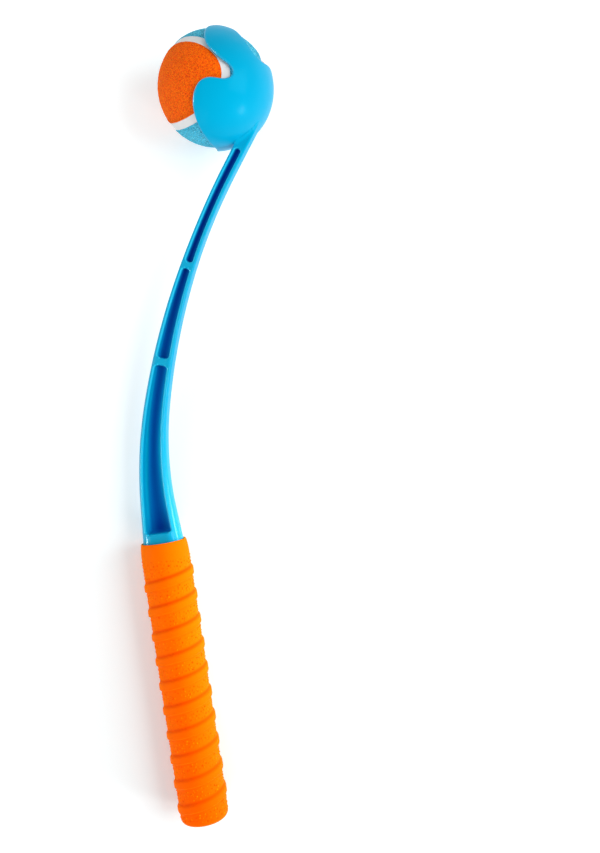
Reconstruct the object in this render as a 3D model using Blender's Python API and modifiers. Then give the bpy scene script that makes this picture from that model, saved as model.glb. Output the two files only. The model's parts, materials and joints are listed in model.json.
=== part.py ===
"""Dog ball thrower with its felt ball, in metres, +Z up, lying on the ground as it would be left.

One moulded arm makes the handle core, the curved shaft with its pockets and the clawed cup.
A soft ribbed sleeve covers the handle core. The ball is two bonded rubber half shells with two
interlocking felt panels and a seam band between them, and it leaves the cup along a straight line.

The arm is drawn in its own plane: X runs from the handle axis towards the cup, Y runs along the
handle from butt to cup, and Z is square to the plane, which is a mirror plane of the arm.
"""

import math

import bmesh
import bpy
import numpy as np
from mathutils import Matrix, Vector

# Ball, a standard tennis ball
BALL_DIAMETER = 0.065
FELT_THICKNESS = 0.0027
RUBBER_WALL = 0.0033
SEAM_WIDTH = 0.005
SEAM_DEPTH_BELOW_FELT = 0.0004
SEAM_SWING_SHARE = 0.22
BALL_TURN_DEGREES = (-132, -38, 110)

# Cup
CUP_WALL = 0.0018
BALL_CLEARANCE = 0.0003
NECK_INSET = 0.0004
RELEASE_ANGLE = math.radians(13)

# Shaft: a straight start at the handle, a tight bend, a gentle bend and a straight neck
STRAIGHT_START = 0.0193
LOWER_BEND_RADIUS = 0.218
LOWER_BEND_ANGLE = math.radians(16.05)
UPPER_BEND_RADIUS = 0.3975
UPPER_BEND_ANGLE = math.radians(21.27)
NECK_RUN = 0.0341
MOUTH_WIDTH = 0.0236
MOUTH_DEPTH = 0.017
MOUTH_CORNER = 0.0073
NECK_WIDTH = 0.0076
NECK_DEPTH = 0.007
NECK_CORNER = 0.0009
MOUTH_FLANGE = 0.0038
NECK_FLANGE = 0.0021
WEB_THICKNESS = 0.002
POCKET_CORNER = 0.0017
MOUTH_BAND = 0.0052
CUP_BAND = 0.0066
RIB_THICKNESS = 0.003

# Handle core and sleeve
SLEEVE_LENGTH = 0.1678
SLEEVE_DIAMETER = 0.0284
SLEEVE_MOUTH_DIAMETER = 0.0267
MOUTH_FLARE = 0.008
SLEEVE_END_WALL = 0.004
SLEEVE_END_ROUND = 0.003
RIDGE_HEIGHT = 0.001
RIDGE_PITCH = 0.0147
RIDGE_WIDTH_SHARE = 0.42
RIDGE_PHASE_SHARE = 0.84
PLAIN_COLLAR = 0.0125
PLAIN_BUTT = 0.004
RIDGE_FADE = 0.004
RECESS_DEPTH = 0.008
CORE_WIDTH = 0.02
CORE_DEPTH = 0.014
CORE_CORNER = 0.004
CORE_FLANGE = 0.0034
CORE_POCKETS = 3

FIT = 0.0003
OVERRUN = 0.01

# How the shaft's width, depth and flange fall from the mouth (1) to the neck (0), along its length
TAPER_PLACE_SHARES = (0.0, 0.1, 0.21, 0.35, 0.52, 0.69, 0.84, 1.0)
WIDTH_TAPER_SHARES = (1.0, 0.744, 0.55, 0.366, 0.18, 0.027, 0.0, 0.0)
DEPTH_TAPER_SHARES = (1.0, 0.6, 0.4, 0.25, 0.12, 0.03, 0.0, 0.0)
FLANGE_TAPER_SHARES = (1.0, 0.75, 0.55, 0.4, 0.25, 0.1, 0.0, 0.0)
RIB_PLACE_SHARES = (0.413, 0.638)

# Edge of the cup seen square to its plane, from under the ball, round the lower lobe, into the
# notch and round the finger, as shares of the cup's outer radius from the ball's centre
RIM_SHARES = (
    (-0.12, -1.0), (-0.155, -0.96), (-0.185, -0.9), (-0.213, -0.82), (-0.23, -0.71),
    (-0.226, -0.57), (-0.202, -0.455), (-0.155, -0.35), (-0.085, -0.258), (0.005, -0.19),
    (0.115, -0.168), (0.23, -0.188), (0.34, -0.219), (0.435, -0.21), (0.49, -0.14),
    (0.492, -0.045), (0.435, 0.045), (0.345, 0.12), (0.265, 0.22), (0.185, 0.35),
    (0.14, 0.49), (0.133, 0.64), (0.148, 0.755), (0.195, 0.81), (0.27, 0.835),
    (0.36, 0.835), (0.48, 0.8), (0.58, 0.75),
)
# Half of the gap between the two fingers seen from behind the cup, from the middle outwards
GAP_SHARES = (
    (0.0, 0.15), (0.14, 0.145), (0.27, 0.135), (0.38, 0.145), (0.455, 0.175), (0.505, 0.225),
    (0.53, 0.3), (0.535, 0.4), (0.51, 0.5), (0.475, 0.6), (0.435, 0.7), (0.42, 0.78),
    (0.42, 0.86),
)

# Fineness
CUP_SEGMENTS = 48
BALL_SEGMENTS = 40
CORE_SEGMENTS = 24
SEAM_STATIONS = 80
SLEEVE_SEGMENTS = 28
RINGS_PER_PITCH = 6
CORNER_STEPS = 3
TAPER_STEPS = 3
RIM_STEPS = 2
BEND_STATION_STEP = 0.005
TILT_HALVINGS = 40
SHARP_EDGE_ANGLE = math.radians(32)

# Sizes that follow
ball_radius = BALL_DIAMETER / 2
cup_inner_radius = ball_radius + BALL_CLEARANCE
cup_outer_radius = cup_inner_radius + CUP_WALL
core_outer_radius = ball_radius - FELT_THICKNESS - FIT
core_inner_radius = core_outer_radius - RUBBER_WALL
felt_inner_radius = ball_radius - FELT_THICKNESS
sleeve_radius = SLEEVE_DIAMETER / 2
lower_bend_length = LOWER_BEND_RADIUS * LOWER_BEND_ANGLE
upper_bend_length = UPPER_BEND_RADIUS * UPPER_BEND_ANGLE
shaft_length = STRAIGHT_START + lower_bend_length + upper_bend_length + NECK_RUN


def corner_reach(width, depth, corner):
    """How far the rounded corner of a section lies from its middle."""
    return math.hypot(width / 2 - corner, depth / 2 - corner) + corner


bore_radius = corner_reach(CORE_WIDTH, CORE_DEPTH, CORE_CORNER) + FIT
recess_radius = corner_reach(MOUTH_WIDTH, MOUTH_DEPTH, MOUTH_CORNER) + FIT


def clear_scene():
    for item in list(bpy.data.objects):
        bpy.data.objects.remove(item, do_unlink=True)


def make_collection(name):
    collection = bpy.data.collections.new(name)
    bpy.context.scene.collection.children.link(collection)
    return collection


def make_material(name, colour, roughness):
    material = bpy.data.materials.new(name)
    material.use_nodes = True
    shader = material.node_tree.nodes["Principled BSDF"]
    shader.inputs["Base Color"].default_value = (*colour, 1)
    shader.inputs["Roughness"].default_value = roughness
    shader.inputs["Metallic"].default_value = 0
    return material


def object_from_bmesh(name, bm, collection):
    bmesh.ops.recalc_face_normals(bm, faces=bm.faces)
    mesh = bpy.data.meshes.new(name)
    bm.to_mesh(mesh)
    bm.free()
    item = bpy.data.objects.new(name, mesh)
    collection.objects.link(item)
    return item


def add_loft(bm, rings, closed=False):
    """Skin a row of rings of points; the two ends are capped unless the row closes on itself."""
    rows = [[bm.verts.new(point) for point in ring] for ring in rings]
    pairs = list(zip(rows, rows[1:]))
    if closed:
        pairs.append((rows[-1], rows[0]))
    for near, far in pairs:
        for i in range(len(near)):
            j = (i + 1) % len(near)
            bm.faces.new((near[i], near[j], far[j], far[i]))
    if not closed:
        bm.faces.new(rows[0])
        bm.faces.new(rows[-1])


def add_prism(bm, outline, place, low, high):
    """A flat outline carried from low to high; place turns outline and height into a point."""
    bottom = [bm.verts.new(place(a, b, low)) for a, b in outline]
    top = [bm.verts.new(place(a, b, high)) for a, b in outline]
    bm.faces.new(bottom)
    bm.faces.new(top)
    for i in range(len(outline)):
        j = (i + 1) % len(outline)
        bm.faces.new((bottom[i], bottom[j], top[j], top[i]))


def smooth_through(points, steps):
    """A Catmull-Rom curve through the points, with the given number of steps in each span."""
    p = np.array([points[0], *points, points[-1]], dtype=float)
    curve = []
    for i in range(1, len(p) - 2):
        for k in range(steps):
            t = k / steps
            curve.append(0.5 * (2 * p[i] + (p[i + 1] - p[i - 1]) * t
                                + (2 * p[i - 1] - 5 * p[i] + 4 * p[i + 1] - p[i + 2]) * t ** 2
                                + (3 * p[i] - p[i - 1] - 3 * p[i + 1] + p[i + 2]) * t ** 3))
    curve.append(p[-2])
    return [tuple(point) for point in curve]


def spine(distance):
    """Point and heading of the shaft's centre line, by its distance from the sleeve's mouth.

    The heading is the angle from +Y towards +X. Negative distances lie inside the sleeve.
    """
    if distance <= STRAIGHT_START:
        return 0.0, SLEEVE_LENGTH + distance, 0.0
    first = min((distance - STRAIGHT_START) / LOWER_BEND_RADIUS, LOWER_BEND_ANGLE)
    x = LOWER_BEND_RADIUS * (1 - math.cos(first))
    y = SLEEVE_LENGTH + STRAIGHT_START + LOWER_BEND_RADIUS * math.sin(first)
    past = distance - STRAIGHT_START - lower_bend_length
    if past <= 0:
        return x, y, first
    heading = first + min(past / UPPER_BEND_RADIUS, UPPER_BEND_ANGLE)
    x += UPPER_BEND_RADIUS * (math.cos(first) - math.cos(heading))
    y += UPPER_BEND_RADIUS * (math.sin(heading) - math.sin(first))
    run = max(past - upper_bend_length, 0)
    return x + run * math.sin(heading), y + run * math.cos(heading), heading


cup_set_back = cup_outer_radius - NECK_WIDTH / 2 - NECK_INSET
foot_x, foot_y, neck_heading = spine(shaft_length)
cup_centre = Vector((foot_x - cup_set_back * math.cos(neck_heading),
                     foot_y + cup_set_back * math.sin(neck_heading), 0))


def smooth_taper(shares):
    """Places and shares of a smooth curve through one row of the taper."""
    return tuple(zip(*smooth_through(list(zip(TAPER_PLACE_SHARES, shares)), TAPER_STEPS)))


width_taper = smooth_taper(WIDTH_TAPER_SHARES)
depth_taper = smooth_taper(DEPTH_TAPER_SHARES)
flange_taper = smooth_taper(FLANGE_TAPER_SHARES)


def tapered(distance, at_neck, at_mouth, curve):
    return at_neck + (at_mouth - at_neck) * float(np.interp(distance / shaft_length, *curve))


def shaft_width(distance):
    return tapered(distance, NECK_WIDTH, MOUTH_WIDTH, width_taper)


def shaft_depth(distance):
    return tapered(distance, NECK_DEPTH, MOUTH_DEPTH, depth_taper)


def shaft_corner(distance):
    return tapered(distance, NECK_CORNER, MOUTH_CORNER, depth_taper)


def shaft_flange(distance):
    return tapered(distance, NECK_FLANGE, MOUTH_FLANGE, flange_taper)


def on_spine(distance, across, up):
    """World point at a distance along the centre line, offset across the shaft and up."""
    x, y, heading = spine(distance)
    return (x + across * math.cos(heading), y - across * math.sin(heading), up)


def section_ring(distance, width, depth, corner):
    """A rectangle with rounded corners, square to the centre line."""
    ring = []
    for quarter in range(4):
        side_x = 1 if quarter in (0, 3) else -1
        side_z = 1 if quarter in (0, 1) else -1
        for step in range(CORNER_STEPS + 1):
            angle = (quarter + step / CORNER_STEPS) * math.pi / 2
            across = side_x * (width / 2 - corner) + corner * math.cos(angle)
            up = side_z * (depth / 2 - corner) + corner * math.sin(angle)
            ring.append(on_spine(distance, across, up))
    return ring


def handle_core_rings():
    """The core inside the sleeve, then the wider collar that fills the sleeve's recess."""
    core_start = SLEEVE_END_WALL + FIT - SLEEVE_LENGTH
    collar_start = FIT - RECESS_DEPTH
    rings = [section_ring(place, CORE_WIDTH, CORE_DEPTH, CORE_CORNER)
             for place in (core_start, collar_start)]
    rings.append(section_ring(collar_start, MOUTH_WIDTH, MOUTH_DEPTH, MOUTH_CORNER))
    return rings


def shaft_rings():
    count = math.ceil(shaft_length / BEND_STATION_STEP)
    places = [shaft_length * k / count for k in range(count + 1)]
    return [section_ring(s, shaft_width(s), shaft_depth(s), shaft_corner(s)) for s in places]


def pocket_outline(start, end, half_width):
    """A slot along the centre line with rounded corners; half_width depends on the place."""
    corner = min(POCKET_CORNER, half_width(start), half_width(end), (end - start) / 2)
    places = []
    for step in range(CORNER_STEPS + 1):
        angle = step / CORNER_STEPS * math.pi / 2
        places.append((start + corner * (1 - math.cos(angle)), corner * (1 - math.sin(angle))))
    count = max(1, math.ceil((end - start - 2 * corner) / BEND_STATION_STEP))
    for k in range(1, count):
        places.append((start + corner + (end - start - 2 * corner) * k / count, 0))
    for step in range(CORNER_STEPS, -1, -1):
        angle = step / CORNER_STEPS * math.pi / 2
        places.append((end - corner * (1 - math.cos(angle)), corner * (1 - math.sin(angle))))
    right = [on_spine(s, half_width(s) - inset, 0)[:2] for s, inset in places]
    left = [on_spine(s, inset - half_width(s), 0)[:2] for s, inset in reversed(places)]
    return right + left


def pocket_spans(start, end, rib_places):
    """The stretches between ribs, from start to end."""
    edges = [start]
    for place in rib_places:
        edges += [place - RIB_THICKNESS / 2, place + RIB_THICKNESS / 2]
    edges.append(end)
    return list(zip(edges[::2], edges[1::2]))


def make_pocket_cutter(collection):
    bm = bmesh.new()
    cup_meets_shaft = shaft_length - math.sqrt(cup_outer_radius ** 2 - cup_set_back ** 2)
    shaft_spans = pocket_spans(MOUTH_BAND, cup_meets_shaft - CUP_BAND,
                               [share * shaft_length for share in RIB_PLACE_SHARES])
    core_start = SLEEVE_END_WALL + FIT - SLEEVE_LENGTH + CORE_FLANGE
    core_end = FIT - RECESS_DEPTH - CORE_FLANGE
    core_ribs = [core_start + (core_end - core_start) * k / CORE_POCKETS
                 for k in range(1, CORE_POCKETS)]
    core_spans = pocket_spans(core_start, core_end, core_ribs)
    outlines = [pocket_outline(a, b, lambda s: shaft_width(s) / 2 - shaft_flange(s))
                for a, b in shaft_spans]
    outlines += [pocket_outline(a, b, lambda s: CORE_WIDTH / 2 - CORE_FLANGE)
                 for a, b in core_spans]
    for outline in outlines:
        for side in (1, -1):
            low = side * WEB_THICKNESS / 2
            high = side * (MOUTH_DEPTH + OVERRUN)
            add_prism(bm, outline, lambda a, b, height: (a, b, height), low, high)
    return object_from_bmesh("pocket_cutter", bm, collection)


def make_sphere(name, radius, segments, collection, centre):
    bm = bmesh.new()
    bmesh.ops.create_uvsphere(bm, u_segments=segments, v_segments=segments // 2, radius=radius)
    bmesh.ops.translate(bm, vec=centre, verts=bm.verts)
    return object_from_bmesh(name, bm, collection)


def make_mouth_cutter(collection):
    """Takes away the open side of the cup, with the notch between lobe and finger."""
    far = cup_outer_radius + OVERRUN
    rim = [(a * cup_outer_radius, b * cup_outer_radius) for a, b in smooth_through(RIM_SHARES, RIM_STEPS)]
    outline = [(rim[0][0], -far), *rim, (far, rim[-1][1]), (far, far), (-far, far), (-far, -far)]
    bm = bmesh.new()
    add_prism(bm, outline, lambda a, b, height: cup_centre + Vector((a, b, height)), -far, far)
    return object_from_bmesh("mouth_cutter", bm, collection)


def make_finger_gap_cutter(collection):
    """Takes away the back of the cup between its two fingers."""
    far = cup_outer_radius + OVERRUN
    half = [(a * cup_outer_radius, b * cup_outer_radius) for a, b in smooth_through(GAP_SHARES, RIM_STEPS)]
    half.append((half[-1][0], far))
    outline = half + [(-a, b) for a, b in reversed(half[1:])]
    bm = bmesh.new()
    add_prism(bm, outline, lambda a, b, height: cup_centre + Vector((height, b, a)), 0, far)
    return object_from_bmesh("finger_gap_cutter", bm, collection)


def add_boolean(item, other, operation):
    modifier = item.modifiers.new(f"{operation.lower()}_{other.name}", "BOOLEAN")
    modifier.operation = operation
    modifier.object = other
    modifier.solver = "EXACT"


def make_throwing_arm(parts, cutters, material):
    """Handle core, shaft and cup as one moulding."""
    bm = bmesh.new()
    add_loft(bm, handle_core_rings() + shaft_rings())
    arm = object_from_bmesh("throwing_arm", bm, parts)
    add_boolean(arm, make_sphere("cup_body", cup_outer_radius, CUP_SEGMENTS, cutters, cup_centre),
                "UNION")
    ball_room = make_sphere("ball_room_cutter", cup_inner_radius, CUP_SEGMENTS, cutters, cup_centre)
    for cutter in (ball_room, make_mouth_cutter(cutters), make_finger_gap_cutter(cutters),
                   make_pocket_cutter(cutters)):
        add_boolean(arm, cutter, "DIFFERENCE")
    arm.data.materials.append(material)
    return arm


def ridge(place, turn):
    """Height of the sleeve's skin above its plain radius: one rounded ridge, wound as a helix."""
    phase = place / RIDGE_PITCH - turn - RIDGE_PHASE_SHARE
    from_crest = abs((phase + 0.5) % 1 - 0.5) / (RIDGE_WIDTH_SHARE / 2)
    if from_crest >= 1:
        return 0.0
    fade_in = (SLEEVE_LENGTH - PLAIN_COLLAR - place) / RIDGE_FADE
    fade_out = (place - PLAIN_BUTT) / RIDGE_FADE
    fade = min(max(fade_in, 0), max(fade_out, 0), 1)
    return RIDGE_HEIGHT * fade * (1 + math.cos(math.pi * from_crest)) / 2


def sleeve_places():
    """Rings of the sleeve's skin from the rounded butt to the mouth, with their plain radius."""
    places = []
    for step in range(CORNER_STEPS + 1):
        angle = step / CORNER_STEPS * math.pi / 2
        places.append((SLEEVE_END_ROUND * (1 - math.sin(math.pi / 2 - angle)),
                       sleeve_radius - SLEEVE_END_ROUND * (1 - math.sin(angle))))
    count = math.ceil((SLEEVE_LENGTH - SLEEVE_END_ROUND) / RIDGE_PITCH * RINGS_PER_PITCH)
    for k in range(1, count + 1):
        place = SLEEVE_END_ROUND + (SLEEVE_LENGTH - SLEEVE_END_ROUND) * k / count
        into_flare = max(1 - (SLEEVE_LENGTH - place) / MOUTH_FLARE, 0)
        drawn_in = (SLEEVE_DIAMETER - SLEEVE_MOUTH_DIAMETER) / 2 * into_flare ** 2
        places.append((place, sleeve_radius - drawn_in))
    return places


def make_grip_sleeve(parts, cutters, material):
    """Soft sleeve: a ribbed tube with a closed butt and a stepped bore."""
    bm = bmesh.new()
    rings = []
    for place, plain in sleeve_places():
        turns = [k / SLEEVE_SEGMENTS for k in range(SLEEVE_SEGMENTS)]
        radii = [plain + ridge(place, turn) for turn in turns]
        rings.append([(r * math.sin(math.tau * turn), place, r * math.cos(math.tau * turn))
                      for r, turn in zip(radii, turns)])
    add_loft(bm, rings)
    sleeve = object_from_bmesh("grip_sleeve", bm, parts)
    bores = ((bore_radius, SLEEVE_END_WALL), (recess_radius, SLEEVE_LENGTH - RECESS_DEPTH))
    for index, (radius, start) in enumerate(bores):
        bm = bmesh.new()
        length = SLEEVE_LENGTH + OVERRUN - start
        along_y = Matrix.Translation((0, start + length / 2, 0)) @ Matrix.Rotation(math.pi / 2, 4, "X")
        circumscribed = radius / math.cos(math.pi / SLEEVE_SEGMENTS)
        bmesh.ops.create_cone(bm, cap_ends=True, segments=SLEEVE_SEGMENTS, radius1=circumscribed,
                              radius2=circumscribed, depth=length, matrix=along_y)
        add_boolean(sleeve, object_from_bmesh(f"bore_cutter_{index + 1}", bm, cutters), "DIFFERENCE")
    sleeve.data.materials.append(material)
    return sleeve


def make_core_half(name, side, parts, parent, material):
    """Rubber half shell: a quarter ring turned about Z by a Screw modifier."""
    steps = CORE_SEGMENTS // 3
    bm = bmesh.new()
    profile = []
    for radius, order in ((core_outer_radius, range(steps + 1)),
                          (core_inner_radius, range(steps, -1, -1))):
        lift = math.asin(FIT / 2 / radius)
        for k in order:
            angle = math.pi / 2 - (math.pi / 2 - lift) * k / steps
            profile.append((radius * math.cos(angle) if k else 0, 0, side * radius * math.sin(angle)))
    points = [bm.verts.new(point) for point in profile]
    for near, far in zip(points, points[1:]):
        bm.edges.new((near, far))
    mesh = bpy.data.meshes.new(name)
    bm.to_mesh(mesh)
    bm.free()
    half = bpy.data.objects.new(name, mesh)
    parts.objects.link(half)
    turn = half.modifiers.new("turn", "SCREW")
    turn.steps = turn.render_steps = CORE_SEGMENTS
    turn.use_merge_vertices = True
    turn.merge_threshold = FIT / 10
    turn.use_normal_flip = side < 0
    half.parent = parent
    half.data.materials.append(material)
    return half


def seam_direction(turn):
    """Direction of the seam from the ball's centre: the curve of a tennis ball's panels."""
    angle = math.tau * turn
    wide, narrow = 1 - SEAM_SWING_SHARE, SEAM_SWING_SHARE
    return Vector((wide * math.cos(angle) + narrow * math.cos(3 * angle),
                   wide * math.sin(angle) - narrow * math.sin(3 * angle),
                   2 * math.sqrt(wide * narrow) * math.sin(2 * angle)))


def add_seam_ribbon(bm, width, low, high):
    """A band of rectangular section that follows the seam round the ball."""
    rings = []
    for k in range(SEAM_STATIONS):
        out = seam_direction(k / SEAM_STATIONS)
        along = seam_direction((k + 0.5) / SEAM_STATIONS) - seam_direction((k - 0.5) / SEAM_STATIONS)
        across = out.cross(along).normalized() * width / 2
        rings.append([out * low - across, out * low + across, out * high + across, out * high - across])
    add_loft(bm, rings, closed=True)


def make_felt_panels(parts, cutters, parent, materials):
    """A felt shell parted by the seam into two interlocking panels."""
    middle = Vector((0, 0, 0))
    shell = make_sphere("felt_shell", ball_radius, BALL_SEGMENTS, cutters, middle)
    felt_room = make_sphere("felt_room_cutter", felt_inner_radius, BALL_SEGMENTS, cutters, middle)
    add_boolean(shell, felt_room, "DIFFERENCE")
    bm = bmesh.new()
    add_seam_ribbon(bm, SEAM_WIDTH + 2 * FIT, core_inner_radius, ball_radius + OVERRUN)
    add_boolean(shell, object_from_bmesh("seam_cutter", bm, cutters), "DIFFERENCE")
    mesh = evaluated_mesh(shell)
    panels = []
    for sign, name, material in zip((1, -1), ("ball_felt_orange", "ball_felt_blue"), materials):
        bm = bmesh.new()
        bm.from_mesh(mesh)
        bmesh.ops.remove_doubles(bm, verts=bm.verts, dist=FIT / 100)
        other = [vert for island in loose_islands(bm) if island_side(island) != sign for vert in island]
        bmesh.ops.delete(bm, geom=other, context="VERTS")
        panel = object_from_bmesh(name, bm, parts)
        panel.parent = parent
        panel.data.materials.append(material)
        panels.append(panel)
    return panels


def loose_islands(bm):
    """The vertices of each connected piece."""
    seen = set()
    islands = []
    for start in bm.verts:
        if start in seen:
            continue
        island = []
        stack = [start]
        seen.add(start)
        while stack:
            vert = stack.pop()
            island.append(vert)
            fresh = {edge.other_vert(vert) for edge in vert.link_edges} - seen
            seen |= fresh
            stack.extend(fresh)
        islands.append(island)
    return islands


def island_side(island):
    """One panel's waist lies over +Z and the other's under -Z."""
    near_axis = min(island, key=lambda vert: math.hypot(vert.co.x, vert.co.y))
    return 1 if near_axis.co.z > 0 else -1


def make_seam(parts, parent, material):
    bm = bmesh.new()
    add_seam_ribbon(bm, SEAM_WIDTH, felt_inner_radius, ball_radius - SEAM_DEPTH_BELOW_FELT)
    seam = object_from_bmesh("ball_seam", bm, parts)
    seam.parent = parent
    seam.data.materials.append(material)
    return seam


def evaluated_mesh(item):
    graph = bpy.context.evaluated_depsgraph_get()
    return bpy.data.meshes.new_from_object(item.evaluated_get(graph))


def settle(item):
    """Fix an item's modifiers into its mesh and shade it smooth up to its sharp edges."""
    mesh = evaluated_mesh(item)
    item.modifiers.clear()
    item.data = mesh
    mesh.shade_smooth()
    mesh.set_sharp_from_angle(angle=SHARP_EDGE_ANGLE)


def points_of(item):
    return np.array([item.matrix_world @ v.co for v in item.data.vertices])


def lay_down(root, arm, sleeve, ball_pieces):
    """Tilt the part about its handle until cup and sleeve both touch the ground, and centre it."""
    bpy.context.view_layer.update()
    arm_points = points_of(arm)
    sleeve_points = points_of(sleeve)

    def lowest(points, tilt):
        return (points[:, 0] * math.sin(tilt) + points[:, 2] * math.cos(tilt)).min()

    low, high = 0.0, math.pi / 4
    for _ in range(TILT_HALVINGS):
        tilt = (low + high) / 2
        if lowest(arm_points, tilt) < lowest(sleeve_points, tilt):
            low = tilt
        else:
            high = tilt
    tilt = (low + high) / 2
    root.rotation_euler = (0, -tilt, 0)
    turn = np.array(Matrix.Rotation(-tilt, 3, "Y"))
    points = np.vstack([points_of(item) for item in (arm, sleeve, *ball_pieces)]) @ turn.T
    low_corner, high_corner = points.min(axis=0), points.max(axis=0)
    centre = (low_corner + high_corner) / 2
    root.location = (-centre[0], -centre[1], -low_corner[2])


def build():
    clear_scene()
    parts = make_collection("dog_ball_thrower")
    cutters = make_collection("cutters")
    blue_plastic = make_material("blue_plastic", (0.0, 0.36, 0.72), 0.35)
    orange_rubber = make_material("orange_rubber", (1.0, 0.22, 0.0), 0.6)
    core_rubber = make_material("core_rubber", (0.03, 0.03, 0.03), 0.7)
    orange_felt = make_material("orange_felt", (0.75, 0.05, 0.005), 0.95)
    blue_felt = make_material("blue_felt", (0.14, 0.5, 0.68), 0.95)
    seam_white = make_material("seam_white", (0.83, 0.82, 0.8), 0.7)

    root = bpy.data.objects.new("rest_pose", None)
    ball_origin = bpy.data.objects.new("ball_centre", None)
    for empty in (root, ball_origin):
        parts.objects.link(empty)
    ball_origin.parent = root
    ball_origin.location = cup_centre
    ball_origin.rotation_euler = [math.radians(angle) for angle in BALL_TURN_DEGREES]

    arm = make_throwing_arm(parts, cutters, blue_plastic)
    sleeve = make_grip_sleeve(parts, cutters, orange_rubber)
    ball_pieces = [make_core_half("ball_core_half_a", 1, parts, ball_origin, core_rubber),
                   make_core_half("ball_core_half_b", -1, parts, ball_origin, core_rubber),
                   *make_felt_panels(parts, cutters, ball_origin, (orange_felt, blue_felt)),
                   make_seam(parts, ball_origin, seam_white)]
    for item in (arm, sleeve, *ball_pieces):
        settle(item)
    arm.parent = root
    sleeve.parent = root
    for cutter in list(cutters.objects):
        bpy.data.objects.remove(cutter, do_unlink=True)
    bpy.data.collections.remove(cutters)
    lay_down(root, arm, sleeve, ball_pieces)
    bpy.context.view_layer.update()

    release = root.matrix_world.to_3x3() @ Vector((-math.cos(RELEASE_ANGLE), math.sin(RELEASE_ANGLE), 0))
    butt = root.matrix_world @ Vector((0, 0, 0))
    print("tilt", round(math.degrees(-root.rotation_euler[1]), 3))
    print("butt centre", [round(v, 5) for v in butt])
    print("cup centre", [round(v, 5) for v in ball_origin.matrix_world.translation])
    print("release axis", [round(v, 5) for v in release])


build()
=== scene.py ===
"""Looks of a dog ball thrower lying on a white floor: its moulded arm, soft sleeve and felt ball.

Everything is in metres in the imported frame, +Z up and +Y along the handle towards the cup.
"""

import json
import math

import bmesh
import bpy
import numpy as np
from mathutils import Euler, Matrix, Vector
from mathutils.kdtree import KDTree


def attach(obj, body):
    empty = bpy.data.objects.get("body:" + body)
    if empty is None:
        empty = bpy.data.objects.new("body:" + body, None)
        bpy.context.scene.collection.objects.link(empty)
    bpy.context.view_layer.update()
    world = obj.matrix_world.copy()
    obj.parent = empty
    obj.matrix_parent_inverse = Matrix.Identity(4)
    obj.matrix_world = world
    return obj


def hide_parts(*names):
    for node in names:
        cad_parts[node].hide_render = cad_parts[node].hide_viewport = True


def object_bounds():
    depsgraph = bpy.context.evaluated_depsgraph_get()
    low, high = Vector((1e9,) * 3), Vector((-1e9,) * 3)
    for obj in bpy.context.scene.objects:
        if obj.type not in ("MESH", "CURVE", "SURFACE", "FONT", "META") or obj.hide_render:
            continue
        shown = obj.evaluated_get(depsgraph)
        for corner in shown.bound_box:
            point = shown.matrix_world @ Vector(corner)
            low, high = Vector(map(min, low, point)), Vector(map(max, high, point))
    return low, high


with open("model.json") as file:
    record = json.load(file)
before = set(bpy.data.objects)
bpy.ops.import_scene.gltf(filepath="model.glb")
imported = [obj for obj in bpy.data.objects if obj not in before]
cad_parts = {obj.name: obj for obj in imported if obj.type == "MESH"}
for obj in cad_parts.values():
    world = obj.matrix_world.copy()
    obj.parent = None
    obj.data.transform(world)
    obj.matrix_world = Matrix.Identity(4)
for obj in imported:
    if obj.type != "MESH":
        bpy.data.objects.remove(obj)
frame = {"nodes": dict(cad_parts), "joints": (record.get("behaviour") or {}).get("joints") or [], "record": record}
cad_low, cad_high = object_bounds()


# Throwing arm
# One injection moulding in bright blue polypropylene: a cored tongue inside the sleeve, a curved shaft
# with pockets on both sides of a middle web, and a clawed cup that snaps over the ball.

fit = 0.0003

# Cup
ball_radius = 0.0325
cup_inner_radius = ball_radius + fit
cup_wall = 0.0018
cup_outer_radius = cup_inner_radius + cup_wall
cup_rim_reach = 0.001
cup_rim_lead = 0.0002
cup_rows = 34
cup_inner_rows = 20
rim_stations = 300
rim_softness = 3.0
mirror_stations = 70
rim_steps = 8
ball_room_share = 0.4
ball_room_segments = 128

# Centre line and sections, from the sleeve's mouth to the neck, and the tongue inside the sleeve
sleeve_length = 0.1678
sleeve_end_wall = 0.004
straight_start = 0.0193
lower_bend_radius = 0.218
lower_bend_angle = math.radians(16.05)
upper_bend_radius = 0.3975
upper_bend_angle = math.radians(21.27)
neck_run = 0.0341
mouth_section = {"width": 0.0236, "depth": 0.017, "corner": 0.0073, "flange": 0.0038}
neck_section = {"width": 0.0076, "depth": 0.007, "corner": 0.0009, "flange": 0.0021}
tongue_section = {"width": 0.02, "depth": 0.014, "corner": 0.004, "flange": 0.0034}
collar_depth = 0.008
neck_inset = 0.0004
neck_fillet = 0.001
neck_rise = 0.002

# Web, ribs and pockets
web_thickness = 0.002
rib_thickness = 0.0018
mouth_band = 0.0036
cup_band = 0.0066
tongue_pockets = 3
pocket_corner = 0.0021
pocket_corner_share = 0.75
pocket_edge_share = 0.5
pocket_floor_round = 0.0026
pocket_floor_shares = (0.6, 0.3, 0)
pocket_draft = math.radians(1.5)
pocket_least_half = 0.0005
rim_flat_share = 1.3

# How closely the points and sections follow each other
outline_steps = 12
quarter_points = 7
tongue_step = 0.006
shaft_step = 0.003
neck_step = 0.0005
neck_zone = 0.012
pocket_end_zone = 0.0045
pocket_end_stations = 25
station_decimals = 6
shoulder_clear = 0.0002
shoulder_step = 1e-6

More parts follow.
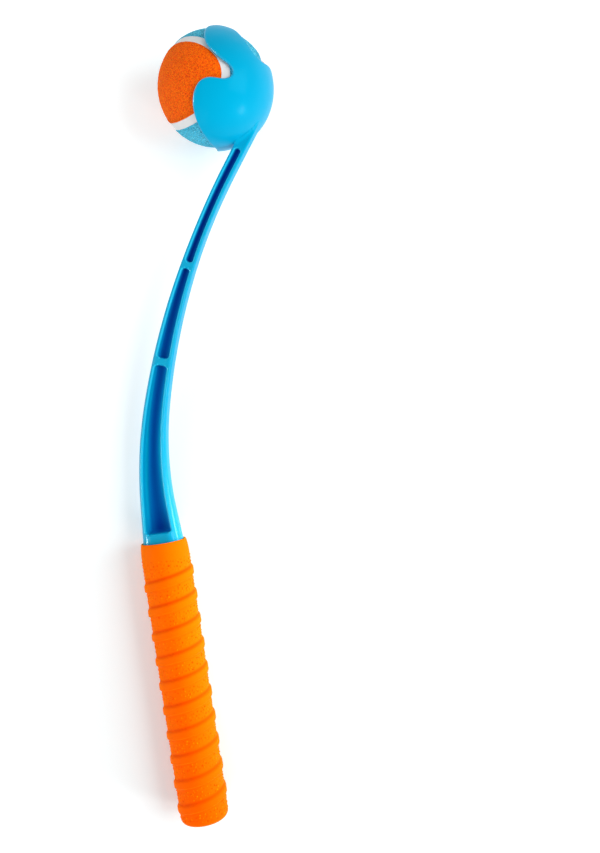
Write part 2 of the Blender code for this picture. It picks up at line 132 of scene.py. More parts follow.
# Painted shade in the pockets, a painted highlight along their edges, polish on the cup's rim
wide_pocket_shade_lift = 0.17
pocket_bowl = 1.6
pocket_bowl_peak = 0.65
pocket_bowl_end = 1.2
pocket_shade_lean = 0.25
pocket_end_shade = 0.2
pocket_end_reach = 0.012
sunk_gain = 3
edge_highlight_gain = 1.5
rim_polish = 0.55
mark_reach = fit / 10
arm_blue = (0.0, 0.365, 0.61, 1)
# Painted shade: the wall and floor blues darken the pockets towards navy.
pocket_wall_painted_shade = (0.0, 0.165, 0.5, 1)
pocket_floor_painted_shade = (0.0, 0.018, 0.23, 1)
# Painted highlight: a paler blue along the pockets' inner edges.
pocket_edge_painted_highlight = (0.04, 0.68, 0.95, 1)
pocket_edge_highlight_strength = 0.5
pocket_shade_from = 0.15
pocket_wall_place = 0.5
cup_coat, shaft_coat = 0.03, 0.26
coat_run = 0.03
sharp_from_degrees = 50

lower_bend_length = lower_bend_radius * lower_bend_angle
upper_bend_length = upper_bend_radius * upper_bend_angle
shaft_length = straight_start + lower_bend_length + upper_bend_length + neck_run

# Fall of the shaft's section from the sleeve's mouth (1) to the neck (0), along its length
taper_place_shares = (0.0, 0.1, 0.21, 0.35, 0.52, 0.69, 0.84, 1.0)
taper_shares = {
    "width": (1.0, 0.744, 0.55, 0.366, 0.18, 0.027, 0.0, 0.0),
    "depth": (1.0, 0.6, 0.4, 0.25, 0.12, 0.03, 0.0, 0.0),
    "corner": (1.0, 0.6, 0.4, 0.25, 0.12, 0.03, 0.0, 0.0),
    "flange": (1.0, 0.75, 0.55, 0.4, 0.25, 0.1, 0.0, 0.0),
}
rib_place_shares = (0.4085, 0.631)

# Edge of the cup as shares of its outer radius. The first outline is seen square to the arm's plane:
# from under the ball, round the lobe, into the notch and up round the finger. The second is seen from
# the cup's back: down the finger's inner side and across to the arm's plane.
rim_shares = (
    (-0.12, -0.9928), (-0.155, -0.96), (-0.185, -0.9), (-0.213, -0.82), (-0.23, -0.71),
    (-0.226, -0.57), (-0.202, -0.455), (-0.155, -0.35), (-0.085, -0.258), (0.005, -0.19),
    (0.115, -0.168), (0.23, -0.188), (0.34, -0.218), (0.45, -0.208), (0.515, -0.145),
    (0.508, -0.045), (0.435, 0.045), (0.352, 0.12), (0.272, 0.22), (0.185, 0.35),
    (0.14, 0.49), (0.133, 0.635), (0.149, 0.74), (0.197, 0.79), (0.275, 0.812), (0.35, 0.808),
)
gap_shares = (
    (0.43, 0.7), (0.48, 0.6), (0.507, 0.5), (0.528, 0.4), (0.53, 0.3), (0.505, 0.225),
    (0.455, 0.175), (0.38, 0.145), (0.27, 0.135), (0.14, 0.145), (0.0, 0.15),
)
half_cup_pole = (0.767, -0.333, 0.548)

butt = np.array(frame["record"]["mounts"][0]["pos_m"])
release_axis = frame["joints"][0]["axis"]
tilt = math.atan(release_axis[2] / release_axis[0])


def laid(across, along, up):
    """Points drawn in the arm's own plane, turned about Y by the tilt it lies at and moved to the butt."""
    across, along, up = np.broadcast_arrays(across, along, up)
    x = across * math.cos(tilt) - up * math.sin(tilt)
    z = across * math.sin(tilt) + up * math.cos(tilt)
    return np.stack((x, along, z), axis=-1) + butt


def smooth_through(points, steps):
    """Smooth curve through the rows of points: each span is a cubic blend of the four rows about it."""
    p = np.vstack((points[:1], points, points[-1:])).astype(float)
    t = (np.arange(steps) / steps)[:, None, None]
    a, b, c, d = p[:-3], p[1:-2], p[2:-1], p[3:]
    spans = 0.5 * (2 * b + (c - a) * t + (2 * a - 5 * b + 4 * c - d) * t ** 2
                   + (3 * b - a - 3 * c + d) * t ** 3)
    return np.vstack((spans.transpose(1, 0, 2).reshape(-1, p.shape[1]), p[-2:-1]))


def spine(distance):
    """Centre line by distance from the sleeve's mouth: a straight, two arcs that bend alike, a straight."""
    first = np.clip((distance - straight_start) / lower_bend_radius, 0, lower_bend_angle)
    past_lower_bend = distance - straight_start - lower_bend_length
    second = np.clip(past_lower_bend / upper_bend_radius, 0, upper_bend_angle)
    heading = first + second
    run = np.clip(distance - shaft_length + neck_run, 0, None)
    x = (lower_bend_radius * (1 - np.cos(first)) + upper_bend_radius * (np.cos(first) - np.cos(heading))
         + run * np.sin(heading))
    y = (sleeve_length + np.minimum(distance, straight_start) + lower_bend_radius * np.sin(first)
         + upper_bend_radius * (np.sin(heading) - np.sin(first)) + run * np.cos(heading))
    return x, y, heading


cup_set_back = cup_outer_radius - neck_section["width"] / 2 - neck_inset
foot_x, foot_y, neck_heading = spine(np.float64(shaft_length))
cup_across = foot_x - cup_set_back * math.cos(neck_heading)
cup_along = foot_y + cup_set_back * math.sin(neck_heading)
cup_meets_shaft = shaft_length - math.sqrt(cup_outer_radius ** 2 - cup_set_back ** 2)
ball_centre = laid(cup_across, cup_along, 0.0)


def section_at(distance, measure):
    """One measure of the section: the tongue's inside the sleeve, then the taper from the mouth on."""
    curve = smooth_through(np.column_stack((taper_place_shares, taper_shares[measure])), outline_steps)
    share = np.interp(distance / shaft_length, curve[:, 0], curve[:, 1])
    shaft = neck_section[measure] + (mouth_section[measure] - neck_section[measure]) * share
    return np.where(distance < fit - collar_depth, tongue_section[measure], shaft)


def pocket_spans():
    """Start and end of every pocket between the ribs: those of the tongue, then those of the shaft."""
    tongue_start = sleeve_end_wall + fit - sleeve_length + tongue_section["flange"]
    tongue_end = fit - collar_depth - tongue_section["flange"]
    ribs = np.linspace(tongue_start, tongue_end, tongue_pockets + 1)[1:-1]
    edges = [tongue_start, *(rib + side * rib_thickness / 2 for rib in ribs for side in (-1, 1)), tongue_end]
    shaft_ribs = np.array(rib_place_shares) * shaft_length
    edges += [mouth_band, *(rib + side * rib_thickness / 2 for rib in shaft_ribs for side in (-1, 1)),
              cup_meets_shaft - cup_band]
    return np.array(edges).reshape(-1, 2)


def shaft_stations():
    """Distances of the sections: even steps, with close ones at the pockets' ends and at the cup.

    The shoulder between the tongue and the wider collar is two sections almost in one place.
    """
    ends = np.linspace(0, pocket_end_zone, pocket_end_stations)
    pockets = pocket_spans()
    start = sleeve_end_wall + fit - sleeve_length
    shoulder = fit - collar_depth
    neck = np.arange(cup_meets_shaft - neck_zone, shaft_length, neck_step)
    places = np.concatenate((
        np.arange(start, 0, tongue_step), np.arange(0, shaft_length, shaft_step), neck,
        [start, shaft_length], *(pockets[:, :1] + ends), *(pockets[:, 1:] - ends),
    ))
    places = np.unique(np.round(places, station_decimals))
    places = places[np.abs(places - shoulder) > shoulder_clear]
    return np.sort(np.concatenate((places, [shoulder - shoulder_step, shoulder + shoulder_step])))


def pocket_depth(inside, full, edge_round, floor_round):
    """Depth of a pocket by the distance inside its end: a rounded edge, a drafted wall, a floor fillet."""
    wall_end = edge_round + (full - edge_round) * math.tan(pocket_draft)
    edge = edge_round - np.sqrt(np.clip(edge_round ** 2 - inside ** 2, 0, None))
    down = np.clip((inside - edge_round) / (wall_end - edge_round), 0, 1)
    wall = edge_round + (full - floor_round - edge_round) * down
    left = np.clip(wall_end + floor_round - inside, 0, floor_round)
    floor = full - floor_round + np.sqrt(floor_round ** 2 - left ** 2)
    depth = np.where(inside < edge_round, edge, np.where(inside < wall_end, wall, floor))
    return np.where(inside <= 0, 0, depth)


def quarter_section(distance):
    """A quarter of each section: from the side over the corner and the rim, down the pocket to its middle.

    The corner is a circle, the rim's inner edge another, the wall is drafted and the floor has a fillet.
    Where there is no pocket, the points lie flush with the rim. Each point also gets its share of the
    pocket's depth, its share of the painted highlight along the rim's inner edge, and its normal.
    """
    width, depth, corner, flange = (section_at(distance, measure)[:, None]
                                    for measure in ("width", "depth", "corner", "flange"))
    pockets = pocket_spans()
    inside = np.minimum(distance[:, None] - pockets[:, 0], pockets[:, 1] - distance[:, None]).max(axis=1)
    inside = inside[:, None]
    edge_round = pocket_edge_share * flange
    turn_radius = np.minimum(pocket_corner, pocket_corner_share * (width / 2 - flange))
    to_corner = np.clip(turn_radius + edge_round - inside, 0, turn_radius)
    inset = turn_radius - np.sqrt(turn_radius ** 2 - to_corner ** 2)
    full = depth / 2 - web_thickness / 2
    quarter = np.linspace(0, math.pi / 2, quarter_points)[None, :]
    edge = np.maximum(width / 2 - flange - inset, pocket_least_half)
    flat = width / 2 - corner
    rim_end = np.arccos(np.clip((edge + rim_flat_share * edge_round - flat) / corner, 0, 1))
    wall_foot = edge - (full - edge_round) * math.tan(pocket_draft)
    floor_round = np.minimum(pocket_floor_round, np.minimum(wall_foot / 2, (full - edge_round) / 2))
    corner_turn = rim_end * quarter / quarter.max()
    one = np.ones_like(width)
    across = np.hstack((
        width / 2 * one, width / 2 * one,
        flat + corner * np.cos(corner_turn),
        (flat + corner * np.cos(rim_end) + edge + edge_round) / 2,
        edge + edge_round - edge_round * np.sin(quarter),
        wall_foot,
        wall_foot - floor_round * (1 - np.cos(quarter[:, 1:])),
        (wall_foot - floor_round) * np.array(pocket_floor_shares),
    ))
    rim_first = 2 + quarter_points
    edge_first = rim_first + 1
    edge_last = edge_first + quarter_points
    outline = depth / 2 - corner + np.sqrt(corner ** 2 - np.clip(across - flat, 0, corner) ** 2)
    up = np.hstack((
        0 * one, (depth / 2 - corner) / 2, outline[:, 2:edge_first],
        outline[:, edge_first:edge_last] - edge_round * (1 - np.cos(quarter)),
        web_thickness / 2 + floor_round,
        web_thickness / 2 + floor_round * (1 - np.sin(quarter[:, 1:])),
        web_thickness / 2 * np.ones((len(distance), len(pocket_floor_shares))),
    ))
    down = pocket_depth(inside, full, edge_round, floor_round)
    up[:, rim_first:] = np.maximum(up[:, rim_first:], outline[:, rim_first:] - down)
    depth_share = np.clip((depth / 2 - up) / full, 0, 1)
    depth_share[:, :rim_first] = 0
    # Painted highlight: the crest is a paler band along the rim's inner edge.
    crest = np.zeros_like(up)
    crest[:, edge_first:edge_last] = (edge_highlight_gain * np.sin(2 * quarter) * np.cos(quarter) ** 2
                                      * np.clip(inside / edge_round, 0, 1))
    side_normal = np.concatenate(([1, 1], np.cos(quarter[0]), np.zeros(up.shape[1] - rim_first)))
    top_normal = np.concatenate(([0, 0], np.sin(quarter[0]), np.ones(up.shape[1] - rim_first)))
    return across, up, depth_share, crest, side_normal[None, :], top_normal[None, :]


def round_loop(values, across_sign=1, up_sign=1):
    """Values of a quarter carried round the whole section, with a sign for each way they are mirrored."""
    return np.hstack((values, across_sign * values[:, -2::-1], across_sign * up_sign * values[:, 1:],
                      up_sign * values[:, -2:0:-1]))


def painted_pocket_shade(distance, across, depth_share):
    """Painted shade in the pockets, and a mask of what lies below the rim.

    The painted shade follows the share of the depth, less in wide pockets, and grows paler towards the
    walls by a parabola, strongest where the opening is pocket_bowl_peak of the widest. The lean paints one
    side of the narrow pockets darker, and a bell over the distance paints the end at the sleeve darker.
    """
    half = (section_at(distance, "width") / 2 - section_at(distance, "flange"))[:, None]
    opening = np.clip(half / (mouth_section["width"] / 2 - mouth_section["flange"]), 0, 1)
    share = across / half
    # Painted shade: paler at the walls, darker on one side of narrow pockets and at the sleeve's end.
    bowl = pocket_bowl * np.minimum((opening / pocket_bowl_peak) ** 2,
                                    (pocket_bowl_end - opening) / (pocket_bowl_end - pocket_bowl_peak))
    end_shade = pocket_end_shade * np.exp(-((distance[:, None] - mouth_band) / pocket_end_reach) ** 2)
    tone = 1 + end_shade - bowl * share ** 2 - pocket_shade_lean * (1 - opening) * share
    deep = depth_share * (1 - wide_pocket_shade_lift * opening)
    return deep * np.clip(tone, 0, None), np.clip(sunk_gain * deep, 0, 1)


def fillet_swell(above_cup, fillet):
    """Height of a fillet circle over the outline, by the distance from the cup's outer face."""
    near = np.clip(fillet - above_cup, 0, fillet)
    return fillet - np.sqrt(fillet ** 2 - near ** 2)


def shaft_loops(distance):
    """Sections of the arm, swollen near the cup along their own normals, and the marks of their points."""
    across, up, depth_share, crest, side_normal, top_normal = quarter_section(distance)
    across, up = round_loop(across, -1, 1), round_loop(up, 1, -1)
    side_normal, top_normal = round_loop(side_normal, -1, 1), round_loop(top_normal, 1, -1)
    # The pocket and edge marks carry painted shade and a painted highlight for the arm's material.
    pocket, sunk = painted_pocket_shade(distance, across, round_loop(depth_share))
    x, y, heading = (value[:, None] for value in spine(distance))
    above_cup = np.hypot(np.hypot(x + across * np.cos(heading) - cup_across,
                                  y - across * np.sin(heading) - cup_along), up) - cup_outer_radius
    across = across + fillet_swell(above_cup, neck_fillet) * np.minimum(side_normal, 0)
    up = up + fillet_swell(above_cup, neck_rise) * top_normal
    points = laid(x + across * np.cos(heading), y - across * np.sin(heading), up)
    return points, {"pocket": pocket, "edge": round_loop(crest), "sunk": sunk}


def grid_faces(rows, columns, first=0, ring=False):
    """Quads of a grid numbered along its closed rows. In a ring, the last row meets the first one too."""
    i, j = np.meshgrid(np.arange(rows if ring else rows - 1), np.arange(columns), indexing="ij")
    next_row, next_column = (i + 1) % rows, (j + 1) % columns
    quads = np.stack((i * columns + j, i * columns + next_column,
                      next_row * columns + next_column, next_row * columns + j), axis=-1)
    return quads.reshape(-1, 4) + first


def fan_faces(middle, ring):
    """Triangles from a middle point to a closed ring of points."""
    return np.column_stack((np.full(len(ring), middle), ring, np.roll(ring, -1)))


def mesh_from(name, points, *face_sets):
    """A mesh object at the origin from an array of points and arrays of triangles and quads."""
    mesh = bpy.data.meshes.new(name)
    corners = np.concatenate([faces.ravel() for faces in face_sets]).astype(np.int32)
    sizes = np.concatenate([np.full(len(faces), faces.shape[1]) for faces in face_sets])
    starts = np.concatenate(([0], np.cumsum(sizes)[:-1])).astype(np.int32)
    mesh.vertices.add(len(points))
    mesh.vertices.foreach_set("co", points.astype(np.float32).ravel())
    mesh.loops.add(len(corners))
    mesh.loops.foreach_set("vertex_index", corners)
    mesh.polygons.add(len(starts))
    mesh.polygons.foreach_set("loop_start", starts)
    mesh.update(calc_edges=True)
    mesh.validate()
    item = bpy.data.objects.new(name, mesh)
    bpy.context.scene.collection.objects.link(item)
    return item


def face_out(item, merge_distance=1e-7):
    """Merges doubled points and turns every face of a closed mesh outwards."""
    bm = bmesh.new()
    bm.from_mesh(item.data)
    bmesh.ops.remove_doubles(bm, verts=bm.verts, dist=merge_distance)
    bmesh.ops.recalc_face_normals(bm, faces=bm.faces)
    bm.to_mesh(item.data)
    bm.free()


def give_attribute(item, name, values):
    """One number for each point of a mesh, for its material to read."""
    attribute = item.data.attributes.new(name, "FLOAT", "POINT")
    attribute.data.foreach_set("value", values.astype(np.float32).ravel())


def make_shaft():
    """The swept part of the arm, from the tongue's end to its foot inside the cup's wall."""
    points, marks = shaft_loops(shaft_stations())
    rows, columns = points.shape[:2]
    ends = points[[0, -1]].mean(axis=1)
    first, last = rows * columns, rows * columns + 1
    ring = np.arange(columns)
    shaft = mesh_from("arm_shaft", np.vstack((points.reshape(-1, 3), ends)), grid_faces(rows, columns),
                      fan_faces(first, ring), fan_faces(last, first - columns + ring))
    face_out(shaft)
    return shaft, points.reshape(-1, 3), {name: values.ravel() for name, values in marks.items()}


def mark_points(item, places, marks):
    """Gives the joined arm the marks of each listed place that is still a point of it, and else zero."""
    tree = KDTree(len(places))
    for index, place in enumerate(places):
        tree.insert(place, index)
    tree.balance()
    found = [tree.find(vertex.co) for vertex in item.data.vertices]
    nearest = np.array([index for _, index, _ in found])
    kept = np.array([distance < mark_reach for _, _, distance in found])
    for name, values in marks.items():
        give_attribute(item, name, values[nearest] * kept)


def unit(vectors):
    """Vectors at a length of 1."""
    return vectors / np.linalg.norm(vectors, axis=-1, keepdims=True)


def slerp(start, end, share):
    """Directions along the great circle from start to end: sin((1-s)w) a + sin(sw) b over sin w."""
    angle = np.arccos(np.clip((start * end).sum(axis=-1, keepdims=True), -1, 1))
    return (np.sin((1 - share) * angle) * start + np.sin(share * angle) * end) / np.sin(angle)


def cup_edge():
    """Evenly spaced directions along the free edge of half a cup, with the outward side of each.

    The two outlines are raised to the unit sphere, joined to their mirror image in one closed curve,
    spaced evenly by arc length and smoothed: a bell curve over the wave numbers damps the short waves.
    """
    rim = smooth_through(np.array(rim_shares), outline_steps)
    rim = np.column_stack((rim, np.sqrt(np.clip(1 - (rim ** 2).sum(axis=1), 0, 1))))
    gap = smooth_through(np.array(gap_shares), outline_steps)
    gap = np.column_stack((np.sqrt(1 - (gap ** 2).sum(axis=1)), gap[:, 1], gap[:, 0]))
    half = np.vstack((rim, gap))
    half[[0, -1], 2] = 0
    loop = np.vstack((half, half[-2:0:-1] * (1, 1, -1)))
    closed = np.vstack((loop, loop[:1]))
    length = np.append(0, np.cumsum(np.linalg.norm(np.diff(closed, axis=0), axis=1)))
    count = 2 * (rim_stations - 1)
    middle = length[len(half) - 1]
    even = np.concatenate((np.linspace(0, middle, rim_stations)[:-1],
                           np.linspace(middle, length[-1], rim_stations)[:-1]))
    curve = np.column_stack([np.interp(even, length, closed[:, axis]) for axis in range(3)])
    waves = np.fft.fftfreq(count, 1 / count)
    kept = np.exp(-0.5 * (2 * math.pi * waves * rim_softness / count) ** 2)[:, None]
    curve = unit(np.fft.ifft(np.fft.fft(curve, axis=0) * kept, axis=0).real)
    along = unit(np.roll(curve, -1, axis=0) - np.roll(curve, 1, axis=0))
    outward = unit(np.cross(along, curve))
    edge, outward = curve[:rim_stations], outward[:rim_stations]
    if (outward[0] * (-1, 0, 0)).sum() < 0:
        outward = -outward
    edge[[0, -1], 2] = 0
    outward[[0, -1], 2] = 0
    return unit(edge), unit(outward)


def make_half_cup(side):
    """One half of the cup: an outer and an inner sphere patch about a pole, joined by a rounded rim.

    Patch points lie on great circles from the pole to the edge. The rim is a half ellipse whose axes
    are its reach along the wall and half of the wall's thickness.
    """
    edge, outward = cup_edge()
    wall_middle = (cup_inner_radius + cup_outer_radius) / 2

    def beyond(reach):
        angle = (reach / wall_middle)[..., None]
        return edge * np.cos(angle) + outward * np.sin(angle)

    inset = beyond(np.full(rim_stations, cup_rim_lead - cup_rim_reach))
    start, end = (math.atan2(inset[k, 1], inset[k, 0]) for k in (-1, 0))
    bearing = np.linspace(start, end, mirror_stations + 2)[1:-1]
    mirror = np.column_stack((np.cos(bearing), np.sin(bearing), np.zeros(mirror_stations)))
    loop = np.vstack((inset, mirror))
    pole = unit(np.array(half_cup_pole))
    columns = len(loop)

    def patch(radius, rows):
        share = (np.arange(1, rows + 1) / rows)[:, None, None]
        return np.vstack((pole, slerp(pole, loop, share).reshape(-1, 3))) * radius

    outer, inner = patch(cup_outer_radius, cup_rows), patch(cup_inner_radius, cup_inner_rows)
    turn = np.linspace(0, math.pi, rim_steps + 1)[1:-1, None]
    reach = (cup_rim_lead + cup_rim_reach * (np.sin(turn) - 1)) * np.ones((1, rim_stations))
    radius = wall_middle + cup_wall / 2 * np.cos(turn)
    rim = beyond(reach) * radius[..., None]
    points = np.vstack((outer, inner, rim.reshape(-1, 3)))
    inner_first, rim_first = len(outer), len(outer) + len(inner)
    ring = np.arange(columns)
    free = np.arange(rim_stations)
    outer_edge = 1 + (cup_rows - 1) * columns + free
    inner_edge = inner_first + 1 + (cup_inner_rows - 1) * columns + free
    rim_rows = rim_first + np.arange(rim.shape[0] * rim_stations).reshape(-1, rim_stations)
    strips = np.vstack((outer_edge, rim_rows, inner_edge))
    rim_faces = np.stack((strips[:-1, :-1], strips[:-1, 1:], strips[1:, 1:], strips[1:, :-1]), axis=-1)
    points = points * (1, 1, side)
    placed = laid(points[:, 0] + cup_across, points[:, 1] + cup_along, points[:, 2])
    return placed, (fan_faces(0, ring + 1), fan_faces(inner_first, ring + inner_first + 1)), (
        grid_faces(cup_rows, columns, 1), grid_faces(cup_inner_rows, columns, inner_first + 1),
        rim_faces.reshape(-1, 4)), rim_first


def make_cup():
    """Both halves of the cup, joined at the arm's plane, and the points of its rounded rim."""
    points, fans, grids, rim_first = make_half_cup(1)
    mirrored = make_half_cup(-1)[0]
    cup = mesh_from("arm_cup", np.vstack((points, mirrored)),
                    np.vstack((*fans, *(fan + len(points) for fan in fans))),
                    np.vstack((*grids, *(grid + len(points) for grid in grids))))
    face_out(cup, merge_distance=2e-6)
    return cup, np.vstack((points[rim_first:], mirrored[rim_first:]))


def make_ball(name, radius, segments):
    """A round cutter about the ball's centre."""
    bm = bmesh.new()
    bmesh.ops.create_uvsphere(bm, u_segments=segments, v_segments=segments // 2, radius=radius)
    bmesh.ops.translate(bm, vec=ball_centre, verts=bm.verts)
    mesh = bpy.data.meshes.new(name)
    bm.to_mesh(mesh)
    bm.free()
    item = bpy.data.objects.new(name, mesh)
    bpy.context.scene.collection.objects.link(item)
    return item


def joined(item, name, *steps):
    """The item after exact booleans with other meshes, which are used up."""
    for operation, other in steps:
        modifier = item.modifiers.new(operation.lower(), "BOOLEAN")
        modifier.operation = operation
        modifier.object = other
        modifier.solver = "EXACT"
    mesh = bpy.data.meshes.new_from_object(item.evaluated_get(bpy.context.evaluated_depsgraph_get()))
    result = bpy.data.objects.new(name, mesh)
    bpy.context.scene.collection.objects.link(result)
    for used in (item, *(other for _, other in steps)):
        bpy.data.objects.remove(used)
    return result


def add_node(tree, kind, inputs=None, **settings):
    """A shader node with its settings, and its inputs either linked to a socket or set to a value."""
    made = tree.nodes.new(kind)
    for key, value in settings.items():
        setattr(made, key, value)
    for key, value in (inputs or {}).items():
        if isinstance(value, bpy.types.NodeSocket):
            tree.links.new(value, made.inputs[key])
        else:
            made.inputs[key].default_value = value
    return made


def blend(tree, factor, first, second):
    """A colour mixed from the first to the second as the factor goes from 0 to 1."""
    return add_node(tree, "ShaderNodeMix", {0: factor, 6: first, 7: second}, data_type="RGBA").outputs[2]


def combine(tree, operation, *values):
    """The result of one math operation on two or three values."""
    return add_node(tree, "ShaderNodeMath", dict(enumerate(values)), operation=operation).outputs[0]


def read_mark(tree, name):
    """The number that a mesh carries at each point under this name."""
    return add_node(tree, "ShaderNodeAttribute", attribute_name=name).outputs["Fac"]


def start_group(name, inputs, outputs):
    """An empty shader group with named sockets: each input is (name, socket type, value)."""
    group = bpy.data.node_groups.new(name, "ShaderNodeTree")
    for label, kind, value in inputs:
        socket = group.interface.new_socket(label, in_out="INPUT", socket_type=kind)
        socket.default_value = value
    for label, kind in outputs:
        group.interface.new_socket(label, in_out="OUTPUT", socket_type=kind)
    return group, group.nodes.new("NodeGroupInput").outputs, group.nodes.new("NodeGroupOutput").inputs


def start_material(name, **constants):
    """A material whose Principled shader has the given constant values on its own sockets."""
    material = bpy.data.materials.new(name)
    material.use_nodes = True
    shader = material.node_tree.nodes["Principled BSDF"]
    for key, value in constants.items():
        shader.inputs[key.replace("_", " ")].default_value = value
    return material, material.node_tree, shader


def make_moulded_skin():
    """The skin that a sparked mould leaves: a fine grain for bump, slow patches in tone and gloss."""
    group, given, out = start_group(
        "moulded_skin",
        (("Tone", "NodeSocketColor", (0.5, 0.5, 0.5, 1)), ("Tone Shift", "NodeSocketFloat", 0.06),
         ("Grain Frequency", "NodeSocketFloat", 3000.0), ("Patch Frequency", "NodeSocketFloat", 60.0),
         ("Gloss Low", "NodeSocketFloat", 0.3), ("Gloss High", "NodeSocketFloat", 0.45)),
        (("Color", "NodeSocketColor"), ("Roughness", "NodeSocketFloat"), ("Height", "NodeSocketFloat")))
    place = add_node(group, "ShaderNodeTexCoord").outputs["Object"]
    patches = add_node(group, "ShaderNodeTexNoise",
                       {"Vector": place, "Scale": given["Patch Frequency"], "Detail": 3.0}).outputs["Fac"]
    grain = add_node(group, "ShaderNodeTexNoise",
                     {"Vector": place, "Scale": given["Grain Frequency"], "Detail": 2.0}).outputs["Fac"]
    swing = combine(group, "SUBTRACT", patches, 0.5)
    shift = combine(group, "MULTIPLY_ADD", swing, given["Tone Shift"], 1.0)
    toned = add_node(group, "ShaderNodeHueSaturation", {"Color": given["Tone"], "Value": shift}).outputs[0]
    gloss = add_node(group, "ShaderNodeMapRange", {
        "Value": patches, "From Min": 0.3, "From Max": 0.7,
        "To Min": given["Gloss Low"], "To Max": given["Gloss High"]}).outputs[0]
    for label, socket in (("Color", toned), ("Roughness", gloss), ("Height", grain)):
        group.links.new(socket, out[label])
    return group


moulded_skin = make_moulded_skin()


def put_on_skin(tree, shader, bump_strength, bump_depth, **values):
    """Gives a shader the moulded skin with its own values: the colour, the roughness and the bumps."""
    named = {name.replace("_", " "): value for name, value in values.items()}
    skin = add_node(tree, "ShaderNodeGroup", named, node_tree=moulded_skin)
    bump = add_node(tree, "ShaderNodeBump", {"Strength": bump_strength, "Distance": bump_depth,
                                             "Height": skin.outputs["Height"]})
    tree.links.new(skin.outputs["Color"], shader.inputs["Base Color"])
    tree.links.new(skin.outputs["Roughness"], shader.inputs["Roughness"])
    tree.links.new(bump.outputs[0], shader.inputs["Normal"])


def make_arm_plastic():
    """Blue polypropylene, satin on the cup and glossy along the shaft, with painted shade inside the
    pockets and a painted highlight along their edges.
    """
    material, tree, shader = start_material(
        "arm_plastic", IOR=1.49, Specular_IOR_Level=0.14, Specular_Tint=(0.0, 0.8, 1, 1),
        Coat_Roughness=0.12, Coat_IOR=1.45)
    # Painted shade: the pocket mark darkens the blue towards navy deep in the pockets.
    depth = add_node(tree, "ShaderNodeMapRange", {
        "Value": read_mark(tree, "pocket"), "From Min": pocket_shade_from, "From Max": 1.0}).outputs[0]
    ramp = add_node(tree, "ShaderNodeValToRGB", {"Fac": depth})
    ramp.color_ramp.elements[0].color = arm_blue
    ramp.color_ramp.elements[1].color = pocket_floor_painted_shade
    ramp.color_ramp.elements.new(pocket_wall_place).color = pocket_wall_painted_shade
    # Painted highlight along the pockets' inner edges.
    paler = combine(tree, "MULTIPLY", read_mark(tree, "edge"), pocket_edge_highlight_strength)
    tone = blend(tree, paler, ramp.outputs["Color"], pocket_edge_painted_highlight)
    put_on_skin(tree, shader, bump_strength=0.25, bump_depth=0.00006, Tone=tone, Tone_Shift=0.05,
                Grain_Frequency=4200.0, Patch_Frequency=45.0, Gloss_Low=0.3, Gloss_High=0.4)
    place = add_node(tree, "ShaderNodeTexCoord").outputs["Object"]
    away = add_node(tree, "ShaderNodeVectorMath", {0: place, 1: tuple(ball_centre)},
                    operation="DISTANCE").outputs["Value"]
    shine = add_node(tree, "ShaderNodeMapRange", {
        "Value": away, "From Min": cup_outer_radius, "From Max": cup_outer_radius + coat_run,
        "To Min": cup_coat, "To Max": shaft_coat}).outputs[0]
    polished = combine(tree, "MAXIMUM", shine, read_mark(tree, "rim"))
    above_rim = combine(tree, "SUBTRACT", 1.0, read_mark(tree, "sunk"))
    tree.links.new(combine(tree, "MULTIPLY", polished, above_rim), shader.inputs["Coat Weight"])
    return material


def finish_piece(item, material, sharp_angle=None):
    """Gives a piece its one material and smooth shading, up to its sharp edges where an angle is given."""
    item.data.materials.clear()
    item.data.materials.append(material)
    item.data.shade_smooth()
    if sharp_angle is not None:
        item.data.set_sharp_from_angle(angle=math.radians(sharp_angle))


room_radius = cup_inner_radius + cup_wall * ball_room_share
shaft, shaft_points, shaft_marks = make_shaft()
cup, rim_points = make_cup()
ball_room = make_ball("ball_room", room_radius, ball_room_segments)
arm = joined(shaft, "moulded_arm", ("DIFFERENCE", ball_room), ("UNION", cup))
mark_points(arm, shaft_points, shaft_marks)
mark_points(arm, rim_points, {"rim": np.full(len(rim_points), rim_polish)})
finish_piece(arm, make_arm_plastic(), sharp_angle=sharp_from_degrees)
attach(arm, "thrower")
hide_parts("throwing_arm")


# Grip sleeve
# A soft orange elastomer tube with a closed butt, pushed over the tongue. One smooth ridge winds round
# it, and the bands between its turns are moulded with small pimples.

sleeve_radius = 0.0142
sleeve_end_round = 0.003
sleeve_mouth_radius = 0.01335
mouth_flare = 0.008
sleeve_lip_round = 0.0004
ridge_height = 0.001
ridge_pitch = 0.0147
ridge_width_share = 0.42
ridge_phase_share = 0.84
ridge_lower_flank = 0.0009
ridge_upper_flank = 0.0022
ridge_fade = 0.004
crease_width = 0.001
crease_set_off = -0.0003
lower_crease_share = 0.25
plain_collar = 0.0125
plain_butt = 0.004
bare_collar = 0.0095
sleeve_columns = 160
sleeve_step = 0.00045
lip_inner_share = 0.3
bore_lead = 0.002
bore_rows = 12
butt_rows = 8
pimple_spacing = 0.0022
pimple_row_share = 0.87
pimple_jitter_share = 0.3
pimple_size_shares = (0.6, 1.2)
pimple_most_ridge = 0.02
pimple_most_crease = 0.1
pimple_radius = 0.0006
pimple_height = 0.00028
pimple_sides = 7
pimple_lift_shares = (-0.6, 0.35, 0.85)
pimple_spread_shares = (1.1, 0.8, 0.4)
pimple_place_seed = 7
pimple_tone_seed = 11
pimple_tone_range = (0.05, 1.0)
pimple_mark_from = 0.01

# Painted shade: the orange grows darker and redder from the collar towards the butt.
butt_shade_orange = (1.0, 0.104, 0.0, 1)
collar_orange = (1.0, 0.146, 0.0, 1)
# Painted shade in the creases at the ridge's feet.
crease_shade_orange = (0.88, 0.07, 0.0, 1)
pimple_dark_orange = (0.95, 0.07, 0.0, 1)
pimple_pale_orange = (1.0, 0.185, 0.0, 1)
